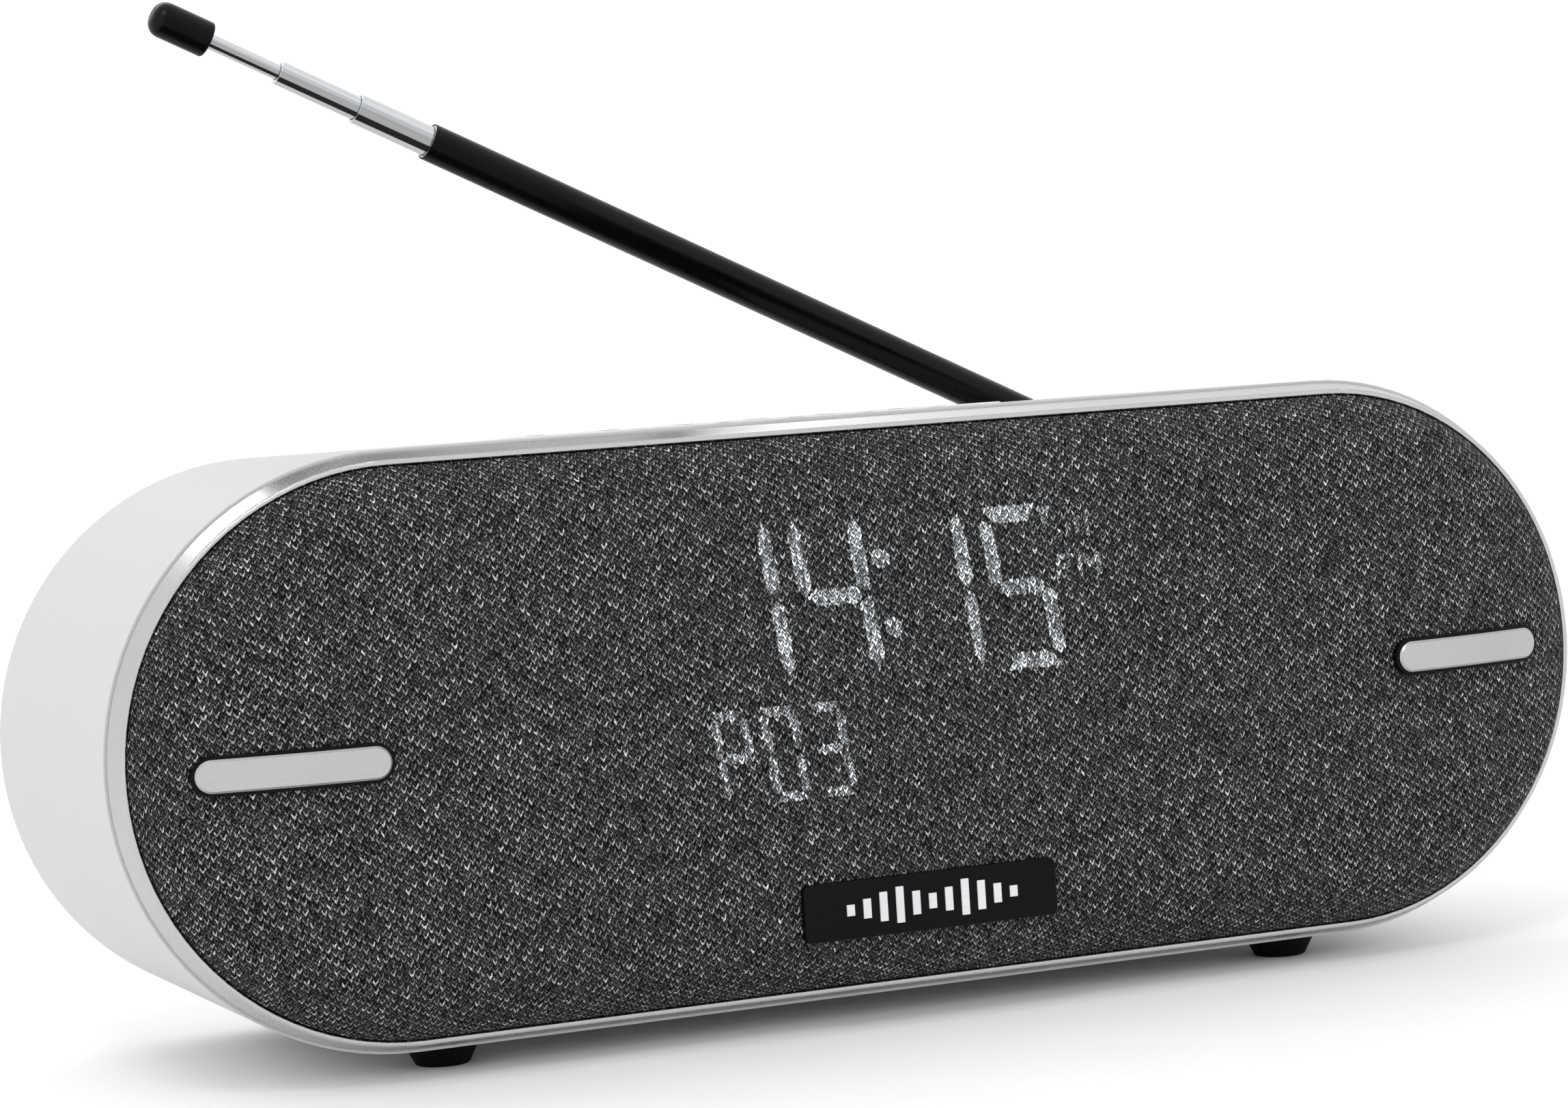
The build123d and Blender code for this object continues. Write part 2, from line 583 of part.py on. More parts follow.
def badge_plate():
    plate = badge_prism(-CROWN - BADGE_PROUD, CLOTH - CROWN)
    plate = fillet(plate.faces().sort_by(Axis.Y)[0].edges(), BADGE_EDGE)
    for x, z, surface in peg_places():
        if abs(x) < BADGE_WIDTH / 2:
            plate += rod_y(PEG_R, x, z, surface, surface + PEG_LENGTH)
    return plate


def badge_marks():
    """A plain row of bars of rising and falling height, like a level meter."""
    marks = Part()
    y = -CROWN - BADGE_PROUD - MARK_PROUD / 2
    for index, height in enumerate(MARK_HEIGHTS):
        x = (index - (len(MARK_HEIGHTS) - 1) / 2) * MARK_PITCH
        marks += block(x, y, -BADGE_BELOW_AXIS, MARK_WIDTH, MARK_PROUD, height)
    return marks


# --- Speakers -----------------------------------------------------------------------------------
def speaker_screw_places():
    """The four screws of each speaker."""
    places = []
    for _, side in side_pairs():
        x = side * SPEAKER_X
        for quarter in range(4):
            turn = math.radians(45 + 90 * quarter)
            places.append((x + SCREW_CIRCLE_R * math.cos(turn), SCREW_CIRCLE_R * math.sin(turn)))
    return places


FLANGE_FRONT = BAFFLE_BACK + GASKET
FLANGE_BACK = FLANGE_FRONT + FLANGE
BASKET_BACK = FLANGE_BACK + BASKET_DEPTH
MAGNET_BACK = BASKET_BACK + MAGNET_DEPTH


def spun(points):
    """A solid turned about the depth axis from radius and depth pairs."""
    profile = make_face(Plane.YZ * Polyline(*[(y, r) for r, y in points], close=True))
    return revolve(profile, Axis.Y, 360)


def speaker_basket():
    wall = BASKET_WALL * 0.8
    outer_r = SPEAKER_CONE_R + BASKET_WALL
    basket = spun([
        (SPEAKER_CONE_R, FLANGE_FRONT), (SPEAKER_FLANGE_R, FLANGE_FRONT), (SPEAKER_FLANGE_R, FLANGE_BACK),
        (outer_r, FLANGE_BACK), (SPEAKER_NECK_R, BASKET_BACK), (VOICE_COIL_R + 1, BASKET_BACK),
        (VOICE_COIL_R + 1, BASKET_BACK - wall), (SPEAKER_NECK_R - wall, BASKET_BACK - wall),
        (SPEAKER_CONE_R, FLANGE_BACK),
    ])
    window = spun([
        (SPEAKER_NECK_R + 1.5, FLANGE_BACK + 2.5), (outer_r + 1, FLANGE_BACK + 2.5),
        (outer_r + 1, BASKET_BACK - 3), (SPEAKER_NECK_R - 3, BASKET_BACK - 3),
    ])
    window_sector = block(0, FLANGE_BACK, outer_r, 16, 4 * BASKET_DEPTH, 2 * outer_r)
    for quarter in range(4):
        basket -= window & (Rot(0, 90 * quarter, 0) * window_sector)
    for quarter in range(4):
        turn = math.radians(45 + 90 * quarter)
        x = SCREW_CIRCLE_R * math.cos(turn)
        basket -= rod_y(SCREW_R + SCREW_FIT, x, SCREW_CIRCLE_R * math.sin(turn), FLANGE_FRONT, FLANGE_BACK)
    return basket


def speaker_gasket():
    ring = rod_y(SPEAKER_FLANGE_R, 0, 0, BAFFLE_BACK, FLANGE_FRONT)
    ring -= rod_y(SPEAKER_CONE_R, 0, 0, BAFFLE_BACK, FLANGE_FRONT)
    for quarter in range(4):
        turn = math.radians(45 + 90 * quarter)
        x = SCREW_CIRCLE_R * math.cos(turn)
        ring -= rod_y(SCREW_R + SCREW_FIT, x, SCREW_CIRCLE_R * math.sin(turn), BAFFLE_BACK, FLANGE_FRONT)
    return ring


def speaker_magnet():
    """Plates, ring magnet and centre pole as one motor."""
    plate_back = BASKET_BACK + 1.5
    motor = spun([
        (VOICE_COIL_R + 0.8, BASKET_BACK), (MAGNET_R - 1, BASKET_BACK), (MAGNET_R - 1, plate_back),
        (MAGNET_R, plate_back), (MAGNET_R, MAGNET_BACK - 2), (MAGNET_R - 1, MAGNET_BACK - 2),
        (MAGNET_R - 1, MAGNET_BACK), (0, MAGNET_BACK), (0, BASKET_BACK - 1),
        (VOICE_COIL_R - 1.2, BASKET_BACK - 1), (VOICE_COIL_R - 1.2, MAGNET_BACK - 3),
        (VOICE_COIL_R + 0.8, MAGNET_BACK - 3),
    ])
    return motor


def speaker_cone():
    """Paper cone, dust cap and voice-coil former."""
    rim_r = SPEAKER_CONE_R - SURROUND
    sheet = CONE_SHEET
    cone = spun([
        (rim_r, FLANGE_FRONT), (rim_r, FLANGE_FRONT + sheet), (VOICE_COIL_R, BASKET_BACK - 5),
        (VOICE_COIL_R, BASKET_BACK + 3), (VOICE_COIL_R - sheet, BASKET_BACK + 3),
        (VOICE_COIL_R - sheet, BASKET_BACK - 6), (0, BASKET_BACK - 9), (0, BASKET_BACK - 9 - sheet),
        (VOICE_COIL_R, BASKET_BACK - 6 - sheet),
    ])
    return cone


def speaker_surround():
    """Rubber half-roll between cone and basket."""
    outer = SPEAKER_CONE_R
    inner = SPEAKER_CONE_R - SURROUND
    middle = (outer + inner) / 2
    roll = spun([(outer, FLANGE_FRONT - 0.2), (middle, FLANGE_FRONT - 2.2), (inner, FLANGE_FRONT - 0.2),
                 (inner, FLANGE_FRONT), (middle, FLANGE_FRONT - 1.8), (outer, FLANGE_FRONT)])
    return roll


# --- Display ------------------------------------------------------------------------------------
LIGHT_BOX_FRONT = CLOTH - CROWN
LIGHT_BOX_BACK = LIGHT_BOX_FRONT + LIGHT_BOX_DEPTH


def display_board_back():
    """Depth of the display board's rear face."""
    return LIGHT_BOX_BACK + BOARD


def display_screw_places():
    """The display board's four corner screws."""
    z = DISPLAY_HEIGHT / 2 + BOARD_MARGIN / 2
    return [(DISPLAY_X + sx * DISPLAY_SCREW_X, DISPLAY_Z + sz * z) for sx in (-1, 1) for sz in (-1, 1)]


def lean(shape, middle_z):
    """Slant a figure about its middle, top to the left."""
    return Pos(0, 0, middle_z) * (Rot(0, -DIGIT_LEAN, 0) * (Pos(0, 0, -middle_z) * shape))


def figure(centre, middle_z, width, height, stroke):
    """The seven segment wells of one figure, as boxes through the light box's front."""
    depth = SEGMENT_DEPTH
    y = LIGHT_BOX_FRONT + depth / 2
    gap = stroke * 0.3
    reach = height / 2 - stroke / 2
    side = width / 2 - stroke / 2
    length = width - 2 * stroke
    upright = reach - stroke - 2 * gap + stroke / 2
    parts = []
    for level in (-1, 0, 1):
        parts.append(Pos(0, y, level * reach) * Box(length, depth, stroke))
    for across in (-1, 1):
        for level in (-0.5, 0.5):
            parts.append(Pos(across * side, y, level * reach) * Box(stroke, depth, upright))
    return [Pos(centre, 0, middle_z) * Rot(0, -DIGIT_LEAN, 0) * part for part in parts]


def all_segments():
    """Every light segment of the display."""
    segments = []
    for centre in DIGIT_CENTRES:
        segments += figure(centre, DIGIT_MIDDLE_Z, DIGIT_WIDTH, DIGIT_HEIGHT, DIGIT_STROKE)
    for centre in LETTER_CENTRES:
        segments += figure(centre, LETTER_MIDDLE_Z, LETTER_WIDTH, LETTER_HEIGHT, LETTER_STROKE)
    colon_x = (DIGIT_CENTRES[1] + DIGIT_CENTRES[2]) / 2
    for step in (-1, 1):
        dot = block(colon_x, LIGHT_BOX_FRONT + SEGMENT_DEPTH / 2, DIGIT_MIDDLE_Z + step * DIGIT_HEIGHT / 4.5,
                    DIGIT_STROKE, SEGMENT_DEPTH, DIGIT_STROKE)
        segments.append(dot)
    return segments


def display_light_box():
    box = block(DISPLAY_X, (LIGHT_BOX_FRONT + LIGHT_BOX_BACK) / 2, DISPLAY_Z,
                DISPLAY_WIDTH, LIGHT_BOX_DEPTH, DISPLAY_HEIGHT)
    for segment in all_segments():
        box -= segment
    return box & crowned(CLOTH)


def display_segments():
    return (Part() + all_segments()) & crowned(CLOTH)


def display_board():
    board = block(DISPLAY_X, LIGHT_BOX_BACK + BOARD / 2, DISPLAY_Z,
                  DISPLAY_WIDTH, BOARD, DISPLAY_HEIGHT + 2 * BOARD_MARGIN)
    for x, z in display_screw_places():
        board -= rod_y(SCREW_R + SCREW_FIT, x, z, LIGHT_BOX_BACK, display_board_back())
    return board


# --- Electronics --------------------------------------------------------------------------------
BOARD_FRONT = MAGNET_BACK + INNER_GAP
BOARD_REAR = PANEL_FRONT - INNER_GAP
BOARD_TOP = SOCKET_Z - JACK_BORE_R - SOCKET_WALL
BOARD_DEPTH = BOARD_REAR - BOARD_FRONT
BOARD_MIDDLE = (BOARD_FRONT + BOARD_REAR) / 2
TRAY_TOP = BOARD_TOP - MAIN_BOARD
CELL_Z = TRAY_TOP - 2.0 - CELL_R


def board_post_places():
    """The two shelves on the rear panel that carry the main board."""
    return [side * (MAIN_BOARD_WIDTH / 2 - SHELF_INSET) for _, side in side_pairs()]


def main_board():
    return block(0, BOARD_MIDDLE, BOARD_TOP - MAIN_BOARD / 2, MAIN_BOARD_WIDTH, BOARD_DEPTH, MAIN_BOARD)


def tuner_module():
    z = BOARD_TOP + TUNER_HEIGHT / 2
    can = block(TUNER_X, BOARD_MIDDLE - 2, z, TUNER_WIDTH, TUNER_DEPTH, TUNER_HEIGHT)
    top_edges = can.edges().group_by(Axis.Z)[-1]
    return fillet(top_edges, CAN_ROUND)


def battery_pack():
    cell = Rot(0, 90, 0) * Cylinder(CELL_R, CELL_LENGTH)
    cell = fillet(cell.edges(), CELL_ROUND)
    button = Rot(0, 90, 0) * Cylinder(CELL_BUTTON_R, CELL_BUTTON)
    button = Pos((CELL_LENGTH + CELL_BUTTON) / 2, 0, 0) * button
    return Pos(0, BOARD_MIDDLE, CELL_Z) * (cell + button)


def battery_tray():
    """Cradle hung from the main board's underside by its four walls."""
    length = CELL_LENGTH + 2 * (TRAY_WALL + TRAY_SPRING_ROOM)
    width = 2 * (CELL_R + CELL_CLEARANCE + TRAY_WALL)
    height = TRAY_TOP - (CELL_Z - CELL_R - CELL_CLEARANCE - TRAY_WALL)
    tray = block(0, BOARD_MIDDLE, TRAY_TOP - height / 2, length, width, height)
    hollow_length = length - 2 * TRAY_WALL
    channel = Rot(0, 90, 0) * Cylinder(CELL_R + CELL_CLEARANCE, hollow_length)
    channel = Pos(0, BOARD_MIDDLE, CELL_Z) * channel
    opening = block(0, BOARD_MIDDLE, (CELL_Z + TRAY_TOP) / 2, hollow_length, width - 2 * TRAY_WALL,
                    TRAY_TOP - CELL_Z)
    return tray - channel - opening


def aux_socket():
    side = 2 * (JACK_BORE_R + SOCKET_WALL)
    front = BODY_DEPTH - JACK_DEPTH - SOCKET_WALL
    body_back = PANEL_FRONT
    body = block(JACK_X, (front + body_back) / 2, SOCKET_Z, side, body_back - front, side)
    nose = rod_y(JACK_BORE_R + SOCKET_WALL - SCREW_FIT, JACK_X, SOCKET_Z, body_back, BODY_DEPTH)
    return body + nose - rod_y(JACK_BORE_R, JACK_X, SOCKET_Z, BODY_DEPTH - JACK_DEPTH, BODY_DEPTH)


def charge_outline(margin, front, back):
    shape = SlotOverall(CHARGE_WIDTH + 2 * margin, CHARGE_HEIGHT + 2 * margin)
    return extrude(Plane.XZ.offset(-back) * Pos(CHARGE_X, SOCKET_Z) * shape, back - front)


def charge_socket():
    bottom = BODY_DEPTH - CHARGE_DEPTH
    shell = charge_outline(CHARGE_SHELL, bottom - 1, BODY_DEPTH - CHARGE_SHELL)
    shell -= charge_outline(0, bottom, BODY_DEPTH)
    tongue = block(CHARGE_X, bottom + CHARGE_TONGUE_LENGTH / 2, SOCKET_Z,
                   CHARGE_WIDTH - 2, CHARGE_TONGUE_LENGTH, CHARGE_TONGUE)
    foot_top = SOCKET_Z - CHARGE_HEIGHT / 2
    leg = block(CHARGE_X, bottom + CHARGE_LEG / 2, (BOARD_TOP + foot_top) / 2,
                CHARGE_WIDTH - 2, CHARGE_LEG, foot_top - BOARD_TOP)
    return shell + tongue + leg


def display_ribbon():
    """Flat flexible cable from the display board back to the main board."""
    front = display_board_back()
    corner = BOARD_FRONT + 6
    across = block(DISPLAY_X, (front + corner) / 2, DISPLAY_Z, RIBBON_WIDTH, corner - front, RIBBON)
    down = block(DISPLAY_X, corner - RIBBON / 2, (DISPLAY_Z + BOARD_TOP) / 2, RIBBON_WIDTH, RIBBON,
                 DISPLAY_Z - BOARD_TOP)
    return across + down


# --- Rear panel ---------------------------------------------------------------------------------
def rear_panel():
    radius = housing_radius(BODY_DEPTH) - WALL - PANEL_GAP
    panel = slab(radius, PANEL_FRONT, BODY_DEPTH)
    rim = panel.edges().filter_by_position(Axis.Y, BODY_DEPTH - 0.01, BODY_DEPTH + 0.01)
    panel = chamfer(rim, PANEL_CHAMFER)
    panel += rod_y(STUD_R + BOSS_WALL, AERIAL_X, AERIAL_Z, BOSS_FRONT, PANEL_FRONT)
    panel -= rod_y(STUD_R + STUD_FIT, AERIAL_X, AERIAL_Z, BOSS_FRONT, BODY_DEPTH)
    for x, z in post_places():
        panel -= rod_y(SCREW_R + SCREW_HOLE_FIT, x, z, PANEL_FRONT, BODY_DEPTH)
        panel -= rod_y(SCREW_HEAD_R + SCREW_SINK_FIT, x, z, REAR_HEAD_BACK, BODY_DEPTH)
    panel -= rod_y(JACK_BORE_R + SOCKET_WALL, JACK_X, SOCKET_Z, PANEL_FRONT, BODY_DEPTH)
    panel -= charge_outline(CHARGE_SHELL + CHARGE_FIT, PANEL_FRONT, BODY_DEPTH)
    for z in clip_peg_heights():
        panel -= rod_y(PEG_R + SCREW_FIT, CLIP_X, z, PANEL_FRONT, BODY_DEPTH)
    for x in board_post_places():
        panel += block(x, (PANEL_FRONT + BOARD_MIDDLE) / 2, TRAY_TOP - SHELF_HEIGHT / 2,
                       SHELF_WIDTH, PANEL_FRONT - BOARD_MIDDLE, SHELF_HEIGHT)
    return panel


def clip_peg_heights():
    """Heights of the two pegs that hold the aerial clip to the rear panel."""
    low = AERIAL_Z - SLEEVE_R - CLIP_PLAY
    return (low - 2 * PEG_R - 1, AERIAL_Z)


def aerial_clip():
    """An upward-facing hook for the folded aerial."""
    shelf_top = AERIAL_Z - SLEEVE_R - CLIP_PLAY
    lip_front = BODY_DEPTH + AERIAL_OFFSET + SLEEVE_R + CLIP_PLAY
    lip_back = lip_front + CLIP_WALL
    plate = AERIAL_OFFSET - SLEEVE_R - CLIP_PLAY
    plate_low = clip_peg_heights()[0] - 2 * PEG_R
    outline_points = [
        (BODY_DEPTH, plate_low), (BODY_DEPTH + plate, plate_low), (lip_back - 2, shelf_top - CLIP_WALL),
        (lip_back, shelf_top - CLIP_WALL + 2), (lip_back, AERIAL_Z + 1), (lip_front, AERIAL_Z + 1),
        (lip_front, shelf_top), (BODY_DEPTH + plate, shelf_top), (BODY_DEPTH + plate, AERIAL_Z + 4),
        (BODY_DEPTH, AERIAL_Z + 4),
    ]
    profile = make_face(Plane.YZ * Polyline(*outline_points, close=True))
    hook = Pos(CLIP_X, 0, 0) * extrude(profile, CLIP_LENGTH / 2, both=True)
    for z in clip_peg_heights():
        hook += rod_y(PEG_R, CLIP_X, z, PANEL_FRONT, BODY_DEPTH)
    return hook


# --- Keys ---------------------------------------------------------------------------------------
def key_bezel():
    plug = RectangleRounded(BEZEL_LENGTH - 0.1, BEZEL_WIDTH - 0.1, KEY_CORNER)
    flange = RectangleRounded(BEZEL_LENGTH + 2 * BEZEL_FLANGE, BEZEL_WIDTH + 2 * BEZEL_FLANGE, KEY_CORNER)
    bezel = extrude(on_deck(plug, BEZEL_BOTTOM), BEZEL_BOTTOM)
    bezel += extrude(on_deck(flange, BEZEL_BOTTOM), BEZEL_BOTTOM - WALL)
    for _, x in key_places():
        hole = RectangleRounded(KEY_LENGTH + 2 * KEY_GAP, KEY_WIDTH + 2 * KEY_GAP, KEY_CORNER + KEY_GAP)
        bezel -= extrude(on_deck(Pos(x, 0) * hole, BEZEL_BOTTOM), BEZEL_BOTTOM)
    return bezel


def key(x):
    cap = extrude(on_deck(Pos(x, 0) * RectangleRounded(KEY_LENGTH, KEY_WIDTH, KEY_CORNER), KEY_BOTTOM),
                  KEY_BOTTOM + KEY_PROUD)
    top_edges = cap.faces().sort_by(Axis.Z)[-1].edges()
    cap = fillet(top_edges, 0.5)
    lip = RectangleRounded(KEY_LENGTH + 2 * KEY_LIP, KEY_WIDTH + 2 * KEY_LIP, KEY_CORNER)
    cap += extrude(on_deck(Pos(x, 0) * lip, KEY_BOTTOM), KEY_FLANGE)
    return cap + extrude(on_deck(Pos(x, 0) * Circle(STEM_R), STEM_BOTTOM), STEM_BOTTOM - KEY_BOTTOM)


def key_switches():
    switches = Part()
    for _, x in key_places():
        body = Rectangle(SWITCH_SIZE, SWITCH_SIZE)
        switches += extrude(on_deck(Pos(x, 0) * body, KEY_BOARD_TOP), SWITCH_HEIGHT)
        switches += extrude(on_deck(Pos(x, 0) * Circle(STEM_R), KEY_BOARD_TOP), SWITCH_HEIGHT + PLUNGER)
    return switches


def key_board():
    board = extrude(on_deck(Rectangle(KEY_BOARD_LENGTH, KEY_BOARD_WIDTH), KEY_BOARD_TOP + BOARD), BOARD)
    for x, y in deck_post_places():
        board -= extrude(on_deck(Pos(x, y) * Circle(SCREW_R + SCREW_FIT), KEY_BOARD_TOP + BOARD), BOARD)
    return board


def inner_screws():
    """The hidden screws of the speakers, the baffle, the display board and the key board."""
    screws = [screw(x, z, FLANGE_BACK, -1, SPEAKER_SCREW, SMALL_HEAD_R) for x, z in speaker_screw_places()]
    screws += [screw(x, z, SKIRT, 1, SCREW_LENGTH) for x, z in post_places()]
    screws += [screw(x, z, LIGHT_BOX_BACK, 1, DISPLAY_SCREW, SMALL_HEAD_R) for x, z in display_screw_places()]
    under = KEY_BOARD_TOP + BOARD
    for x, y in deck_post_places():
        head = extrude(on_deck(Pos(x, y) * Circle(SMALL_HEAD_R), under + SCREW_HEAD), SCREW_HEAD)
        shank = extrude(on_deck(Pos(x, y) * Circle(SCREW_R), under), DECK_SCREW)
        screws.append(head + shank)
    return Part() + screws


# --- Aerial -------------------------------------------------------------------------------------
RAISED = math.radians(AERIAL_RAISED)
AERIAL_DIRECTION = (-math.cos(RAISED), 0, math.sin(RAISED))
AERIAL_PIVOT = (AERIAL_X, BODY_DEPTH + AERIAL_OFFSET, AERIAL_Z)
AERIAL = Plane(origin=AERIAL_PIVOT, x_dir=(0, 1, 0), z_dir=AERIAL_DIRECTION)
MIDDLE_END = OUTER_END + MIDDLE_SHOWS
INNER_END = MIDDLE_END + INNER_SHOWS
ROD_END = INNER_END + ROD_SHOWS
MIDDLE_TAIL = SLEEVE_START + TAIL_GAP + MIDDLE_SHOWS
INNER_TAIL = MIDDLE_TAIL + TAIL_STEP + INNER_SHOWS
ROD_TAIL = INNER_TAIL + TAIL_STEP + ROD_SHOWS


def along_aerial(radius, start, end):
    """A round bar on the aerial's axis; local X points to the rear."""
    return extrude(AERIAL.offset(start) * Circle(radius), end - start)


def across_aerial(radius, half):
    """A round bar along the tilt axis."""
    return AERIAL * (Rot(90, 0, 0) * Cylinder(radius, 2 * half))


def aerial_tube(radius, bore, start, end):
    """One telescopic section, its mouth's outer edge eased."""
    bar = along_aerial(radius, start, end)
    mouth = bar.edges().sort_by(Axis.Z)[-1]
    return fillet(mouth, MOUTH_EASE) - along_aerial(bore, start, end)


def aerial_swivel():
    ear_half = TONGUE / 2 + EAR_GAP + EAR
    base = SWIVEL_LIFT - AERIAL_OFFSET
    seat = BODY_DEPTH + SWIVEL_LIFT
    flange = rod_y(SWIVEL_R, AERIAL_X, AERIAL_Z, seat, seat + SWIVEL_FLANGE)
    flange = fillet(flange.edges().sort_by(Axis.Y)[-1], SWIVEL_FLANGE / 2)
    stud = rod_y(STUD_R, AERIAL_X, AERIAL_Z, STUD_FRONT, seat)
    cheek = across_aerial(EAR_R, ear_half)
    root = AERIAL * (Pos(base / 2, 0, 0) * Box(abs(base), 2 * ear_half, 2 * EAR_R))
    gap_reach = AERIAL_OFFSET - SWIVEL_LIFT - SWIVEL_FLANGE
    gap = AERIAL * Box(2 * gap_reach, TONGUE + 2 * EAR_GAP, 4 * EAR_R)
    swivel = flange + stud + (cheek + root - gap)
    swivel -= across_aerial(PIVOT_PIN_R + PIN_PRESS, ear_half)
    groove = rod_y(STUD_R + 1, AERIAL_X, AERIAL_Z, CIRCLIP_FRONT, CIRCLIP_FRONT + CIRCLIP)
    groove -= rod_y(STUD_R - CIRCLIP_BITE, AERIAL_X, AERIAL_Z, CIRCLIP_FRONT,
                    CIRCLIP_FRONT + CIRCLIP)
    return swivel - groove


def aerial_circlip():
    back = CIRCLIP_FRONT + CIRCLIP
    ring = rod_y(STUD_R + CIRCLIP_BAND, AERIAL_X, AERIAL_Z, CIRCLIP_FRONT, back)
    ring -= rod_y(STUD_R - CIRCLIP_BITE, AERIAL_X, AERIAL_Z, CIRCLIP_FRONT, back)
    mouth = block(AERIAL_X, CIRCLIP_FRONT + CIRCLIP / 2, AERIAL_Z - STUD_R - 1,
                  CIRCLIP_MOUTH, CIRCLIP, 2 * STUD_R)
    return ring - mouth


def aerial_pin():
    return across_aerial(PIVOT_PIN_R, TONGUE / 2 + EAR_GAP + EAR)


def aerial_knuckle():
    tongue = across_aerial(TONGUE_R, TONGUE / 2)
    stem = AERIAL * (Pos(0, 0, NECK_START / 2) * Box(2 * NECK_R, TONGUE, NECK_START + 1))
    neck = along_aerial(NECK_R, NECK_START, SLEEVE_START - COLLAR)
    collar = along_aerial(SLEEVE_R, SLEEVE_START - COLLAR, SLEEVE_START)
    return tongue + stem + neck + collar - across_aerial(PIVOT_PIN_R + PIN_FIT, TONGUE)


def aerial_outer_tube():
    bore = MIDDLE_TUBE_R + SLIDE_FIT
    return aerial_tube(OUTER_TUBE_R, bore, SLEEVE_START, OUTER_END)


def aerial_sleeve():
    return aerial_tube(SLEEVE_R, OUTER_TUBE_R, SLEEVE_START, OUTER_END)


def aerial_middle_tube():
    return aerial_tube(MIDDLE_TUBE_R, INNER_TUBE_R + SLIDE_FIT, MIDDLE_TAIL, MIDDLE_END)


def aerial_inner_tube():
    return aerial_tube(INNER_TUBE_R, ROD_R + SLIDE_FIT, INNER_TAIL, INNER_END)


def aerial_rod():
    return along_aerial(ROD_R, ROD_TAIL, ROD_END + CAP_GRIP)


def aerial_cap():
    cap = along_aerial(CAP_R, ROD_END, ROD_END + CAP_LENGTH)
    tip = cap.edges().sort_by(Axis.Z)[-1]
    cap = fillet(tip, CAP_R * 0.75)
    mouth = cap.edges().sort_by(Axis.Z)[0]
    cap = fillet(mouth, CAP_EASE)
    return cap - along_aerial(ROD_R, ROD_END, ROD_END + CAP_GRIP)


def aerial_bracket():
    """Spring plate that joins the swivel to the tuner's aerial input."""
    front = CIRCLIP_FRONT + CIRCLIP
    plate = block(AERIAL_X, (front + BOSS_FRONT) / 2, AERIAL_Z - BRACKET_DROP,
                  BRACKET_WIDTH, BRACKET, BRACKET_HEIGHT)
    return plate - rod_y(STUD_R + STUD_FIT, AERIAL_X, AERIAL_Z, front, BOSS_FRONT)


# --- Build every part ---------------------------------------------------------------------------
def main():
    os.makedirs("parts", exist_ok=True)
    save("main_housing", main_housing())
    save("rear_panel", rear_panel())
    save("front_ring", front_ring())
    save("front_baffle", front_baffle())
    save("grille_frame", grille_frame())
    save("grille_cloth", grille_cloth())
    save("badge_plate", badge_plate())
    save("badge_marks", badge_marks())
    for name, x, depth in foot_places():
        save(f"foot_{name}", foot(x, depth))
    speaker_parts = {
        "basket": speaker_basket(),
        "gasket": speaker_gasket(),
        "magnet": speaker_magnet(),
        "cone": speaker_cone(),
        "surround": speaker_surround(),
    }
    for name, side in side_pairs():
        save(f"trim_base_{name}", trim_base(side))
        save(f"trim_bar_{name}", trim_bar(side))
        for part_name, shape in speaker_parts.items():
            save(f"speaker_{part_name}_{name}", Pos(side * SPEAKER_X, 0, 0) * shape)
    save("inner_screws", inner_screws())
    save("rear_screws", Part() + [screw(x, z, REAR_HEAD_BACK, -1) for x, z in post_places()])
    save("display_light_box", display_light_box())
    save("display_segments", display_segments())
    save("display_board", display_board())
    save("display_ribbon", display_ribbon())
    save("main_board", main_board())
    save("tuner_module", tuner_module())
    save("battery_pack", battery_pack())
    save("battery_tray", battery_tray())
    save("aux_socket", aux_socket())
    save("charge_socket", charge_socket())
    save("key_bezel", key_bezel())
    save("key_board", key_board())
    save("key_switches", key_switches())
    for name, x in key_places():
        save(f"key_{name}", key(x))
    save("aerial_bracket", aerial_bracket())
    save("aerial_clip", aerial_clip())
    save("aerial_swivel", aerial_swivel())
    save("aerial_circlip", aerial_circlip())
    save("aerial_pin", aerial_pin())
    save("aerial_knuckle", aerial_knuckle())
    save("aerial_outer_tube", aerial_outer_tube())
    save("aerial_sleeve", aerial_sleeve())
    save("aerial_middle_tube", aerial_middle_tube())
    save("aerial_inner_tube", aerial_inner_tube())
    save("aerial_rod", aerial_rod())
    save("aerial_cap", aerial_cap())


main()
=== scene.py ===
import json
import math

import bmesh
import bpy
from mathutils import Matrix, Vector


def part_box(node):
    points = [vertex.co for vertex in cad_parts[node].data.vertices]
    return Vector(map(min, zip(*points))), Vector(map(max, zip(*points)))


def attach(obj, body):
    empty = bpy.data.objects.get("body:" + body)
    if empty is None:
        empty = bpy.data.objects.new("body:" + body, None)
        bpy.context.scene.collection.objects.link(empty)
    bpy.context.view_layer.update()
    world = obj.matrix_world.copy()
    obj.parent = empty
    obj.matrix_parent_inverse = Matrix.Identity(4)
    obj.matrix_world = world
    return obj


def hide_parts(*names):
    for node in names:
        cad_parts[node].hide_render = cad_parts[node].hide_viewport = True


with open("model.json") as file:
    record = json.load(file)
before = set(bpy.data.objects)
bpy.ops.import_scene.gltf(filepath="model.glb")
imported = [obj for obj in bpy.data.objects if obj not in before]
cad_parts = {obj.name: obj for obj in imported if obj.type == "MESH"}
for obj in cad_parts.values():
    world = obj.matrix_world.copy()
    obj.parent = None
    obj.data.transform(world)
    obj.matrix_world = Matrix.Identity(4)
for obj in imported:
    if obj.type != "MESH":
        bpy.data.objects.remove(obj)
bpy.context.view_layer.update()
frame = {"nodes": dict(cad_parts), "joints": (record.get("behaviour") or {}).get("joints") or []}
nodes = frame["nodes"]

